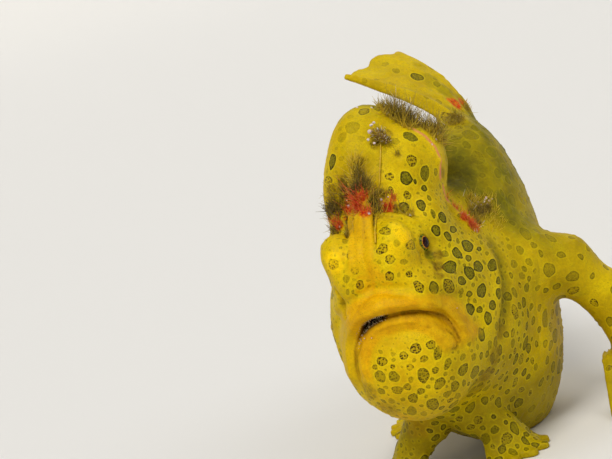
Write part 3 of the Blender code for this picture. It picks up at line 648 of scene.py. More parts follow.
# warts and skin flaps, some where the photograph shows them
rng = np.random.default_rng(11)
for x, y, r, h in ((438.6, 160.5, 0.55, 0.55), (357, 109, 0.3, 0.25), (371, 108.5, 0.3, 0.22), (437, 139, 0.3, 0.3),
                   (405, 243, 0.9, 0.22), (333, 262, 1.1, 0.30), (457, 308, 0.35, 0.25), (412, 222, 0.35, 0.18),
                   (403.5, 157, 0.4, 0.12), (483, 286, 0.35, 0.15), (462, 258, 0.3, 0.12)):
    c, n = on_skin(x, y)
    if c is not None:
        idx = near(c, 2.6 * r)
        lift[idx] += h * np.exp(-((V[idx] - c) ** 2).sum(1) / r ** 2)
for i in rng.permutation(len(V))[:5000]:
    if smooth_skin[i] > 0.1 or V[i, 2] < 3 or inner[i] > 0.05:
        continue
    if front[i] > 0.3 and V[i, 1] < 24 and rng.random() < 0.55:
        continue
    if rng.random() < 0.75:
        continue
    r, h = rng.uniform(0.32, 0.62), rng.uniform(0.05, 0.22)
    idx = near(V[i], 2.4 * r)
    lift[idx] += h * np.exp(-((V[idx] - V[i]) ** 2).sum(1) / r ** 2)

# the gill opening: a small pore low behind each arm
for side in (1, -1):
    c = Vector((bend_shift(np.array(47.0)) + side * 30, 47.0, 21.0))
    hit, normal, face, _ = tree.ray_cast(c, Vector((-side, 0, 0)))
    if hit is not None:
        c = np.array(hit)
        idx = near(c, 4)
        d = np.linalg.norm(V[idx] - c, axis=1)
        lift[idx] += 0.45 * np.exp(-((d - 1.25) / 0.55) ** 2) - 0.9 * np.exp(-(d / 0.75) ** 2)

# ------------------------------------------------------------------ markings
# kinds: 'o' filled olive with a dark rim, 'r' a rosette of dark dots, 'm' mottled without a rim, 'f' faint.
# Each is the place in the photograph, half length, half width, slant in degrees and strength.
MUZZLE = [
    ('r', 384.4, 230.6, 6.0, 4.2, 0, 0.8), ('r', 381.9, 249.1, 6.8, 4.6, -35, 0.75), ('r', 351.2, 256.1, 5.6, 4.5, 80, 0.6),
    ('r', 390.2, 259.3, 5.3, 4.8, 0, 0.75), ('r', 333.4, 264.4, 5.5, 5.0, 90, 0.5), ('r', 355.0, 270.8, 4.2, 4.0, 0, 0.8),
    ('r', 389.5, 276.6, 5.3, 4.8, 90, 1.0), ('r', 360.2, 285.5, 4.8, 4.2, 90, 1.0), ('f', 346.1, 279.1, 4.4, 3.6, 90, 0.5),
    ('r', 409.3, 274.0, 3.6, 3.5, 0, 0.9), ('r', 418.9, 286.8, 7.0, 4.4, 55, 1.0), ('o', 434.2, 288.0, 7.0, 4.7, 75, 0.75),
    ('r', 411.2, 244.7, 5.6, 5.2, 0, 0.7), ('f', 396.5, 243.4, 3.8, 3.2, 90, 0.4), ('f', 404.2, 261.9, 4.4, 2.8, 0, 0.45),
    ('f', 399.1, 275.0, 3.0, 1.8, 90, 0.35), ('f', 345.0, 241.0, 3.2, 3.0, 0, 0.5), ('f', 358.9, 261.0, 3.2, 2.6, 90, 0.4),
    ('f', 378.7, 262.0, 2.8, 2.3, 90, 0.35), ('r', 432.2, 301.4, 3.6, 2.8, 80, 1.0), ('r', 445.6, 307.8, 4.8, 3.5, 70, 0.9),
    ('f', 347.4, 292.5, 3.8, 2.0, 90, 0.5), ('f', 353.0, 292.0, 3.0, 1.6, 90, 0.45), ('f', 350.0, 310.0, 3.8, 2.2, 90, 0.4),
    ('f', 329.5, 280.5, 3.8, 3.2, 0, 0.7), ('f', 341.0, 333.0, 3.0, 2.0, 90, 0.4), ('f', 424.0, 272.0, 2.6, 2.0, 60, 0.4),
]
CHEEK = [
    ('o', 436.2, 230.4, 6.0, 4.4, 65, 1.0), ('o', 447.8, 236.3, 5.6, 3.1, 58, 0.9), ('o', 467.3, 245.9, 6.9, 5.0, 48, 0.95),
    ('o', 457.1, 253.6, 6.8, 4.5, 52, 1.1), ('o', 478.8, 249.1, 2.8, 2.4, 0, 0.8), ('o', 449.5, 267.6, 6.8, 5.8, 38, 1.1),
    ('o', 468.6, 258.1, 3.5, 3.0, 60, 0.8), ('o', 478.2, 266.4, 6.0, 4.7, 68, 0.95), ('o', 491.6, 265.7, 6.1, 4.0, 80, 0.9),
    ('o', 469.2, 272.7, 7.1, 4.9, 63, 1.1), ('o', 461.0, 281.0, 4.8, 4.0, 60, 0.85), ('f', 444.4, 254.2, 4.0, 3.6, 0, 0.6),
    ('o', 482.0, 290.6, 7.2, 4.8, 98, 0.9), ('o', 469.2, 293.8, 3.4, 3.1, 0, 0.7), ('f', 460.3, 291.2, 3.2, 2.6, 90, 0.6),
    ('r', 449.5, 286.8, 7.3, 5.3, 78, 1.3), ('o', 470.5, 309.1, 6.2, 4.3, 68, 1.0), ('o', 480.1, 309.7, 3.6, 3.0, 80, 0.75),
    ('o', 492.2, 305.3, 5.1, 3.3, 82, 0.85), ('o', 488.4, 318.0, 6.8, 3.6, 85, 0.85), ('o', 481.4, 334.6, 7.2, 3.2, 86, 0.9),
    ('o', 497.3, 293.8, 5.6, 2.6, 86, 0.8), ('o', 497.3, 281.0, 4.0, 2.4, 86, 0.8), ('f', 502.4, 320.6, 3.4, 2.8, 90, 0.8),
    ('f', 459.9, 296.5, 2.0, 1.6, 0, 0.6), ('f', 475.0, 300.8, 2.6, 2.0, 60, 0.6), ('f', 475.2, 319.0, 2.6, 1.8, 80, 0.6),
    ('f', 457.8, 241.0, 3.2, 1.6, 75, 0.7), ('o', 453.3, 229.3, 3.9, 3.6, 40, 0.8), ('f', 462.0, 233.0, 2.0, 1.8, 0, 0.6),
    ('f', 484.0, 277.0, 3.0, 1.2, 50, 0.6), ('f', 473.0, 285.0, 2.6, 2.0, 110, 0.6), ('f', 497.0, 326.0, 4.6, 2.4, 90, 0.6),
    ('f', 472.0, 331.0, 3.4, 2.0, 80, 0.45), ('f', 490.0, 345.0, 5.0, 2.4, 90, 0.5), ('f', 486.0, 254.0, 2.2, 1.6, 60, 0.6),
    ('f', 455.0, 273.5, 1.8, 1.4, 0, 0.5), ('f', 489.0, 245.0, 3.4, 2.6, 60, 0.5), ('f', 480.0, 237.0, 3.2, 2.2, 50, 0.45),
    ('f', 464.0, 265.0, 1.8, 1.6, 0, 0.6), ('f', 503.0, 300.0, 4.0, 2.0, 86, 0.5), ('f', 474.0, 357.0, 4.0, 2.6, 100, 0.5),
]
CHIN = [
    ('r', 381.9, 361.4, 5.6, 4.6, 10, 1.0), ('r', 403.5, 355.6, 4.5, 4.3, 0, 0.85), ('r', 415.7, 348.6, 5.8, 5.3, -20, 1.1),
    ('r', 431.0, 344.8, 5.0, 4.6, -30, 1.1), ('o', 438.0, 353.1, 7.4, 4.2, -76, 1.0), ('o', 424.0, 358.8, 4.5, 3.4, -30, 0.7),
    ('o', 447.6, 363.9, 6.6, 3.3, -70, 0.8), ('o', 463.5, 369.7, 7.2, 4.3, -56, 0.95), ('o', 475.0, 372.2, 7.4, 3.4, -64, 0.95),
    ('o', 435.4, 370.3, 3.8, 3.5, -50, 0.8), ('o', 423.3, 375.4, 7.8, 6.0, 84, 1.0), ('r', 409.9, 367.1, 3.8, 3.4, 0, 0.6),
    ('r', 392.7, 366.5, 2.8, 2.7, 0, 0.6), ('o', 374.8, 367.1, 3.0, 2.6, 40, 0.7), ('o', 379.9, 376.7, 6.6, 5.0, 52, 0.8),
    ('o', 394.0, 376.7, 6.1, 5.0, 32, 0.85), ('f', 364.6, 370.3, 7.5, 4.5, 90, 0.5), ('o', 439.9, 383.7, 7.2, 4.6, -50, 0.9),
    ('o', 455.2, 386.3, 5.8, 3.9, -70, 0.85), ('f', 464.0, 383.0, 3.6, 2.0, -80, 0.6), ('f', 452.7, 378.0, 2.8, 2.4, 0, 0.6),
    ('o', 407.4, 386.9, 4.1, 3.5, 0, 0.75), ('o', 397.2, 390.1, 5.9, 4.1, 8, 0.7), ('f', 381.2, 391.4, 4.2, 2.8, 28, 0.7),
    ('o', 420.8, 391.4, 4.2, 3.4, -20, 0.8), ('f', 428.4, 386.9, 2.6, 2.3, 0, 0.6), ('f', 432.2, 379.0, 2.4, 2.0, 0, 0.6),
    ('o', 413.1, 398.4, 5.1, 4.8, 0, 0.85), ('o', 432.9, 404.7, 6.4, 6.1, 0, 0.9), ('f', 447.6, 394.5, 4.8, 3.0, -34, 0.6),
    ('f', 411.8, 411.1, 5.2, 4.6, 30, 0.6), ('f', 403.0, 399.5, 2.6, 2.2, 0, 0.5), ('f', 458.0, 396.0, 3.6, 2.6, -50, 0.5),
    ('f', 393.0, 354.0, 2.8, 2.2, 0, 0.35), ('f', 445.5, 374.0, 2.6, 2.0, -60, 0.6), ('f', 463.0, 357.0, 4.2, 2.6, -65, 0.5),
    ('f', 391.5, 401.0, 3.6, 2.8, 30, 0.4), ('f', 470.0, 388.0, 4.6, 2.2, -66, 0.5), ('f', 424.0, 414.0, 3.4, 2.6, 0, 0.4),
]
HUMP = [
    ('o', 332.7, 161.5, 8.0, 3.2, 103, 1.1), ('r', 411.4, 160.9, 6.2, 4.8, 60, 0.75), ('o', 406.2, 178.2, 7.3, 5.8, 66, 1.0),
    ('f', 425.1, 173.0, 8.0, 4.6, 88, 1.0), ('r', 389.6, 176.4, 4.8, 4.0, 0, 0.6), ('r', 390.7, 190.8, 4.5, 2.9, 90, 1.2),
    ('r', 407.3, 195.4, 4.6, 3.8, 50, 1.2), ('o', 403.9, 206.9, 5.2, 4.9, 30, 1.1), ('o', 421.1, 205.1, 6.3, 4.3, 62, 1.2),
    ('o', 424.6, 187.9, 3.4, 3.0, 60, 0.9), ('o', 415.4, 181.6, 2.8, 1.6, 80, 0.9), ('o', 442.9, 217.2, 6.1, 3.5, 62, 1.1),
    ('f', 433.2, 213.8, 5.0, 2.3, 68, 0.9), ('f', 429.2, 197.7, 4.0, 1.9, 62, 0.8), ('f', 410.2, 136.8, 8.0, 4.4, 28, 1.0),
    ('f', 376.9, 191.4, 6.4, 3.5, 0, 0.5), ('f', 352.8, 128.2, 7.0, 6.2, -20, 0.35), ('f', 343.0, 138.0, 5.6, 4.0, -60, 0.3),
    ('r', 327.6, 179.9, 5.0, 3.8, -10, 0.6), ('f', 436.0, 172.0, 4.0, 2.0, 88, 0.6), ('f', 395.0, 141.0, 5.0, 3.4, 30, 0.35),
    ('f', 425.0, 214.0, 2.6, 1.8, 60, 0.6), ('f', 418.0, 193.0, 2.0, 1.6, 0, 0.5), ('f', 380.0, 164.0, 3.0, 2.4, 0, 0.2),
]
FIN_AND_SHOULDER = [
    ('o', 417.0, 77.0, 7.0, 3.6, 12, 0.9), ('f', 437.0, 84.0, 4.0, 2.6, 30, 0.7), ('f', 396.0, 71.0, 4.0, 2.4, 5, 0.5),
    ('f', 520.0, 250.0, 5.0, 3.6, 60, 0.6), ('f', 534.0, 245.0, 4.0, 3.0, 40, 0.6), ('f', 514.0, 264.0, 4.4, 3.2, 70, 0.6),
    ('f', 529.0, 262.0, 4.6, 3.2, 50, 0.55), ('f', 522.0, 276.0, 4.0, 3.0, 60, 0.5), ('f', 509.0, 247.0, 3.2, 2.4, 60, 0.5),
]
spot = np.full(len(V), 9.0)
rosette = np.zeros(len(V))
power = np.zeros(len(V))
rimmed = np.zeros(len(V))


def stamp(c, n, U, a, b, kind, strength, phase):
    W = np.cross(n, U)
    idx = near(c, max(a, b) * 1.5 + 0.9)
    idx = idx[N[idx] @ n > 0.1]
    d = V[idx] - c
    p, q, h = d @ U / a, d @ W / b, np.abs(d @ n)
    turned = np.arctan2(q, p)
    rho = np.sqrt(p * p + q * q + 1e-12) * (1 + 0.05 * np.sin(3 * turned + phase) + 0.035 * np.sin(5 * turned + 2.3 * phase))
    s = (rho - 1) * math.sqrt(a * b) + 0.5 * np.maximum(h - 1.5, 0)
    m = s < spot[idx]
    j = idx[m]
    spot[j] = s[m]
    rosette[j] = {'r': 1.0, 'o': 0.22, 'f': 0.1, 'm': 0.5}[kind]
    rimmed[j] = {'r': 0.35, 'o': 0.72, 'f': 0.15, 'm': 0.3}[kind]
    power[j] = strength


def tangents(n):
    u = np.cross(n, (0.0, 0.0, 1.0)) if abs(n[2]) < 0.9 else np.cross(n, (1.0, 0.0, 0.0))
    u = unit(u)
    return u, np.cross(n, u)


marks = []
for i, (kind, x, y, a, b, slant, strength) in enumerate(MUZZLE + CHEEK + CHIN + HUMP + FIN_AND_SHOULDER):
    strength = min(1.35, strength * (1.35 if kind != 'f' else 1.15))
    if kind == 'o' and y > 340:
        kind, strength = 'm', 0.80 * strength
    c, n = on_skin(x, y)
    if c is None:
        continue
    idx = near(c, 1.3)
    n = unit(N[idx].mean(0))                  # the way the skin faces there, without its small folds
    u, w = tangents(n)
    J = np.column_stack([(to_picture(c + 0.1 * t) - to_picture(c))[0] / 0.1 for t in (u, w)])
    t = radians(slant)
    R = np.array([[cos(t), -sin(t)], [sin(t), cos(t)]])
    E = R @ np.diag([1 / a ** 2, 1 / b ** 2]) @ R.T
    lam, vec = np.linalg.eigh(J.T @ E @ J)
    long_, short = 1 / math.sqrt(max(lam[0], 1e-6)), 1 / math.sqrt(max(lam[1], 1e-6))
    short = min(max(short, 0.2), 1.5)
    long_ = min(long_, 2.1 * short, 2.2)
    U = unit(vec[0, 0] * u + vec[1, 0] * w)
    stamp(c, n, U, long_, short, kind, strength, 1.7 * i)
    marks.append(c)

# elsewhere they are scattered: dense on the head, larger and fainter on the trunk, few on the fins
rng = np.random.default_rng(23)
seen = (facing > 0.15) & (picture[:, 0] > 318) & (picture[:, 0] < 510 - 0.62 * np.maximum(picture[:, 1] - 295, 0)) & (picture[:, 1] > 112) & (V[:, 1] < 31)
plain = np.maximum(smooth_skin, smoothstep(2.6, 1.2, np.linalg.norm(np.abs(QV - (EYE_MID, EYE_Y, EYE_Z)) - (EYE_OUT + 1.5, 0, 0), axis=1)))
cells = {}
kept = 0
for i in rng.permutation(len(V))[:26000]:
    p, q = V[i], QV[i]
    if plain[i] > 0.2 or inner[i] > 0.02 or p[2] < 1.2:
        continue
    x, y, z = abs(q[0]), q[1], q[2]
    on_fin = y > 90 or (z > 61 and y > 33) or (z < 10 and (y > 64 or x > 12)) or abs(p[0]) > 24
    if seen[i]:
        spacing, lo, hi, strength = 1.35, 0.16, 0.34, 0.45
        if picture[i, 0] > 436 or picture[i, 1] > 350:
            spacing, lo, hi, strength = 1.2, 0.22, 0.55, 0.62
        if p[2] > 52:
            spacing, lo, hi, strength = 3.2, 0.25, 0.7, 0.3
    elif y < 30 and z < 50:
        spacing, lo, hi, strength = 2.1, 0.45, 1.15, 0.9
    elif y < 33:
        spacing, lo, hi, strength = 3.4, 0.5, 1.15, 0.75
    elif z > 61 and y > 33:
        spacing, lo, hi, strength = 4.4, 0.5, 1.3, 0.36
    elif on_fin:
        spacing, lo, hi, strength = 4.2, 0.6, 1.5, 0.75
    elif z < 8:
        spacing, lo, hi, strength = 3.8, 0.6, 1.2, 0.4
    else:
        spacing, lo, hi, strength = 3.1, 0.6, 1.6, 0.7
    size = lo + (hi - lo) * rng.random() ** 1.4
    if spot[i] < size + 0.22:
        continue
    key = tuple(np.floor(p / 4.5).astype(int))
    close = False
    for dx in (-1, 0, 1):
        for dy in (-1, 0, 1):
            for dz in (-1, 0, 1):
                for o, r in cells.get((key[0] + dx, key[1] + dy, key[2] + dz), ()):
                    if (o - p).dot(o - p) < (spacing * 0.55 + 0.45 * (size + r)) ** 2:
                        close = True
    if close:
        continue
    cells.setdefault(key, []).append((p, size))
    n = N[i]
    u, w = tangents(n)
    t = rng.random() * pi
    U = cos(t) * u + sin(t) * w
    kind = 'f' if seen[i] else ('o' if rng.random() < 0.62 else ('r' if rng.random() < 0.6 else 'f'))
    stamp(p, n, U, size * rng.uniform(1.0, 1.35), size * rng.uniform(0.8, 1.0), kind, strength * rng.uniform(0.7, 1.1), t * 9)
    kept += 1

# ------------------------------------------------------------------ broad colour with painted shade and painted highlight, each 0..1 on the skin
n1, n2, n3 = layered(V, 6.0, 31), layered(V, 2.2, 41), layered(V, 0.9, 51)
back_of_head = smoothstep(26, 34, QV[:, 1] + 0.25 * (QV[:, 2] - 40))
olive_and_shade = back_of_head * (0.22 + 0.70 * smoothstep(26, 46, QV[:, 2])) * (0.70 + 0.45 * smoothstep(0.25, 0.75, n1))
olive_and_shade *= 1 - 0.85 * smoothstep(57, 62, V[:, 2]) * (QV[:, 1] > 40)
olive_and_shade = np.maximum(olive_and_shade, 0.22 * smoothstep(47, 52, QV[:, 2]) * smoothstep(0.35, 0.75, n1))
# painted shade: olive on the low head and belly, which lie in shade
olive_and_shade = np.maximum(olive_and_shade, 0.55 * smoothstep(18, 9, QV[:, 2]) * (1 - smoothstep(36, 60, QV[:, 1])))
olive_and_shade = np.maximum(olive_and_shade, 0.40 * smoothstep(4, 9, QV[:, 0]) * smoothstep(52, 45, QV[:, 2]) * (QV[:, 1] < 32) * n1 * 1.5)
orange_and_shade = np.maximum(lips * (0.70 + 0.25 * n2) * (1 - 0.75 * smoothstep(-6.5, -9.5, QV[:, 0])), column * 0.60)
orange_and_shade = np.maximum(orange_and_shade, 0.25 * smoothstep(12, 4, QV[:, 1]) * smoothstep(0.4, 0.7, n1))
painted_highlight = np.zeros(len(V))
red = np.zeros(len(V))
brown_and_shade = np.zeros(len(V))
pink = np.zeros(len(V))


def blob(field, x, y, r, strength, flat=1.0):
    """a soft patch with a ragged edge round the place behind a pixel; r in mm"""
    c, n = on_skin(x, y)
    if c is None:
        return
    idx = near(c, 2.2 * r)
    d = np.linalg.norm((V[idx] - c), axis=1) / r
    ragged = d + 0.55 * (n2[idx] - 0.5) + 0.55 * (n3[idx] - 0.5)
    field[idx] = np.maximum(field[idx], strength * smoothstep(1.15, 0.55, ragged))


# painted highlight: lighter yellow on the bumps beside the snout and on the upper lip
for x, y, r, s in ((407, 240, 2.3, 1.0), (400, 232, 1.6, 0.8), (333, 262, 2.2, 1.0), (340, 256, 1.4, 0.6), (410, 300, 1.5, 0.35),
                   (396, 226, 1.4, 0.7), (395, 250, 1.8, 0.6)):
    blob(painted_highlight, x, y, r, s)
for x, y, r, s in ((432, 80, 2.6, 0.5), (446, 90, 2.6, 0.6), (455, 112, 2.4, 0.6), (462, 100, 2.0, 0.5), (420, 66, 2.0, 0.35), (428, 254, 1.4, 0.95), (433, 262, 1.2, 0.6)):
    blob(olive_and_shade, x, y, r, s)
# painted shade in orange-brown: the hollow under the snout's column, the groove between cheek and chin, and under the
# chin
for x, y, r, s in ((366, 285, 2.2, 0.7), (384, 281, 1.8, 0.6), (372, 272, 1.9, 0.7), (356, 307, 2.0, 0.45), (401, 268, 1.4, 0.3),
                   (362, 355, 1.6, 0.6), (367, 368, 1.8, 0.5), (418, 427, 3.0, 0.6), (405, 418, 2.0, 0.5)):
    blob(orange_and_shade, x, y, r, s)
for x, y, r, s in ((357, 207, 1.9, 1.0), (349, 211, 1.1, 0.95), (366, 212, 1.2, 1.0), (353, 195, 1.1, 0.9), (362, 198, 1.2, 0.8),
                   (387, 208, 1.5, 0.95), (393, 199, 0.7, 0.7), (340, 226, 1.1, 0.9), (334, 222, 0.9, 0.7), (345, 218, 0.6, 0.5),
                   (455, 209, 0.6, 0.7), (463, 219, 0.9, 0.95), (470, 225, 1.1, 1.0), (475, 229, 1.0, 0.8), (447, 197, 0.5, 0.6),
                   (455, 104, 1.5, 0.95), (449, 100, 0.9, 0.7), (461, 101, 1.0, 0.7)):
    blob(red, x, y, r, s)
# brown film and fuzz on the brow, bait, hump and back; the patches behind the eye, under the brow's edge and along the
# low cheek and chin are painted shade
for x, y, r, s in ((358, 190, 2.0, 0.9), (361, 175, 1.5, 0.75), (359, 162, 1.2, 0.6), (384, 211, 0.8, 0.6), (402, 212, 0.8, 0.5), (347, 196, 2.2, 0.85), (343, 183, 1.5, 0.7),
                   (336, 208, 2.2, 0.9), (329, 213, 1.8, 0.85), (328, 226, 2.2, 0.85), (336, 231, 1.6, 0.8), (374, 203, 1.6, 0.9),
                   (377, 212, 1.0, 0.9), (382, 195, 1.4, 0.6), (396, 209, 1.4, 0.6), (409, 214, 1.4, 0.45), (332, 195, 2.0, 0.5),
                   (366, 186, 1.4, 0.8), (438, 264, 1.4, 0.85), (438, 254, 1.1, 0.8), (439, 275, 1.1, 0.6), (428, 252, 0.7, 0.5), (381, 136, 1.3, 0.9),
                   (386, 139, 1.1, 0.85), (443, 172, 1.2, 0.5), (503, 330, 2.4, 0.5),
                   (495, 355, 2.6, 0.6), (486, 375, 2.4, 0.6), (476, 390, 2.4, 0.5), (388, 409, 2.2, 0.4), (370, 392, 2.2, 0.5),
                   (397.5, 155, 0.7, 0.6), (472, 213, 1.1, 0.75), (480, 213, 1.4, 0.85), (487, 209, 1.2, 0.75), (477, 222, 1.0, 0.6), (378, 141, 1.2, 0.8), (388, 133, 1.1, 0.7), (374, 146, 0.9, 0.5), (455, 120, 2.0, 0.6), (430, 118, 2.0, 0.4), (467, 108, 1.2, 0.5)):
    blob(brown_and_shade, x, y, r, s)
# the cut behind the hump gets painted shade in olive and brown, with a pink edge in front of it
cut = np.minimum(np.abs(ellipsoid(QV, (0, 34.5, 62.0), (30, 3.6, 13.0), turn(-14))),
                 np.abs(cone(np.column_stack([np.abs(QV[:, 0]), QV[:, 1:]]), (9, 33.5, 54), (16.4, 29.0, 40.5), 3.4, 1.2)))
cut_shade = smoothstep(3.2, 0.3, cut + 1.6 * (n2 - 0.5)) * smoothstep(36, 44, QV[:, 2]) * smoothstep(66, 60, QV[:, 2])
olive_and_shade = np.clip(np.maximum(olive_and_shade, 1.0 * cut_shade), 0, 1)
# painted shade in olive and brown along the groove behind the cheek
idx, w, t = along(CHEEK_EDGE, 2.2, 2.4)
w = w * smoothstep(0, 0.15, t) * (1 - smoothstep(0.62, 1.0, t)) * (0.65 + 0.6 * (n2[idx] - 0.2))
olive_and_shade[idx] = np.maximum(olive_and_shade[idx], 0.9 * w)
brown_and_shade[idx] = np.maximum(brown_and_shade[idx], 0.35 * w ** 2)
brown_and_shade = np.maximum(brown_and_shade, 0.22 * cut_shade)
crest_zone = (smoothstep(20, 24, QV[:, 1]) * smoothstep(36, 32, QV[:, 1]) * smoothstep(55, 59, V[:, 2]) * smoothstep(-0.1, 0.35, N[:, 1] + 0.4 * N[:, 2])
              * smoothstep(376, 386, picture[:, 0]) * smoothstep(0.36, 0.52, n1 * 0.4 + n2 * 0.6) * smoothstep(56, 60, V[:, 2]))
brown_and_shade = np.maximum(brown_and_shade, 0.9 * crest_zone * smoothstep(0.30, 0.55, n2))
for line in ([(395.5, 118.5), (410, 127), (425, 136.5), (434.5, 147), (439.5, 160), (440.5, 178)],
             [(443, 186), (446, 198), (452, 207.5), (461, 216.5), (471, 227)]):
    idx, w, t = along(line, 0.30)
    pink[idx] = np.maximum(pink[idx], w * smoothstep(0.25, 0.6, n2[idx] + 0.25))
# painted shade: brown lines in the grooves beside the snout's column
idx, w, t = along([(374, 206), (374.3, 222), (375, 240), (375, 250)], 0.22)
brown_and_shade[idx] = np.maximum(brown_and_shade[idx], 0.85 * w * (1 - 0.5 * t))
for line in ([(355.5, 217), (355, 232), (356.5, 250)], [(364, 217), (364.5, 236), (366, 256)]):
    idx, w, t = along(line, 0.22)
    brown_and_shade[idx] = np.maximum(brown_and_shade[idx], 0.34 * w * (1 - 0.7 * t))
# painted shade in the creases under the far bump, between cheek and chin, and at the corner of the lips
for line, width, much in (([(328, 286), (336, 291), (342, 302), (346, 322)], 0.6, 0.5), ([(364, 338), (360, 345), (357, 356), (357, 368), (361, 381)], 0.4, 0.35),
                          ([(446, 327), (454, 335), (458.5, 343), (457, 348.5), (451, 349)], 0.4, 0.5)):
    idx, w, t = along(line, width)
    brown_and_shade[idx] = np.maximum(brown_and_shade[idx], much * w * smoothstep(0, 0.2, t) * (1 - smoothstep(0.8, 1, t)))
# painted shade: brown line in the groove at the column's far side
idx, w, t = along([(347, 213), (346, 224), (347.5, 236)], 0.34)
brown_and_shade[idx] = np.maximum(brown_and_shade[idx], 0.95 * w)
# painted shade in the mouth's cleft, darkest where the lips part
cleft_shade = np.clip(inner * (0.25 + 0.85 * gap), 0, 1)
# painted shade under the overhanging upper lip and along the closed lip line
brown_and_shade = np.maximum(brown_and_shade, 0.62 * under_lip_shade * (0.6 + 0.6 * n2))
brown_and_shade = np.maximum(brown_and_shade, 0.5 * inner * (1 - gap))
spot_off = np.clip(red + 0.7 * brown_and_shade + cleft_shade + plain + 0.62 * olive_and_shade * (QV[:, 2] > 30) * (V[:, 1] > 25), 0, 1)
power *= 1 - spot_off

V += N * lift[:, None]
N = vertex_normals(V, Q)


def unwrap(P):
    """where a place on the fish lies on a plan of its own skin: along the body and round it"""
    S = straight(P)
    zc = 30.0
    round_ = np.arctan2(S[:, 0], S[:, 2] - zc) / (2 * pi) + 0.5
    return np.column_stack([0.04 + 0.92 * (P[:, 1] + 4) / 130.0, 0.04 + 0.92 * round_])


def mesh_object(name, P, faces, marks=None, uv=None, smooth=True):
    me = bpy.data.meshes.new(name)
    P = (np.asarray(P, float) - ORIGIN) / 1000.0
    faces = np.asarray(faces, np.int32)
    me.vertices.add(len(P))
    me.vertices.foreach_set('co', P.astype(np.float32).ravel())
    k = faces.shape[1]
    me.loops.add(faces.size)
    me.loops.foreach_set('vertex_index', faces.ravel())
    me.polygons.add(len(faces))
    me.polygons.foreach_set('loop_start', np.arange(0, faces.size, k, dtype=np.int32))
    me.polygons.foreach_set('loop_total', np.full(len(faces), k, np.int32))
    me.update(calc_edges=True)
    me.validate()
    if smooth:
        me.shade_smooth()
    for key, value in (marks or {}).items():
        a = me.attributes.new(key, 'FLOAT', 'POINT')
        a.data.foreach_set('value', np.asarray(value, np.float32))
    if uv is not None:
        layer = me.uv_layers.new(name='OFBake')
        layer.data.foreach_set('uv', np.asarray(uv, np.float32)[faces.ravel()].ravel())
    ob = bpy.data.objects.new(name, me)
    bpy.context.scene.collection.objects.link(ob)
    return ob


# the skin's marks, painted shade and painted highlight among them
MARKS = dict(spot=spot, rosette=rosette, power=power, rimmed=rimmed, olive_and_shade=olive_and_shade, orange_and_shade=orange_and_shade, painted_highlight=painted_highlight,
             red=red, brown_and_shade=brown_and_shade, pink=pink, cleft_shade=cleft_shade)
skin = mesh_object('skin', V, Q, MARKS)

# ------------------------------------------------------------------ materials


def tint(r, g, b):
    """a display colour, 0..255, as the shader wants it"""
    return tuple(((c / 255.0) / 12.92 if c <= 10 else ((c / 255.0 + 0.055) / 1.055) ** 2.4) for c in (r, g, b)) + (1.0,)


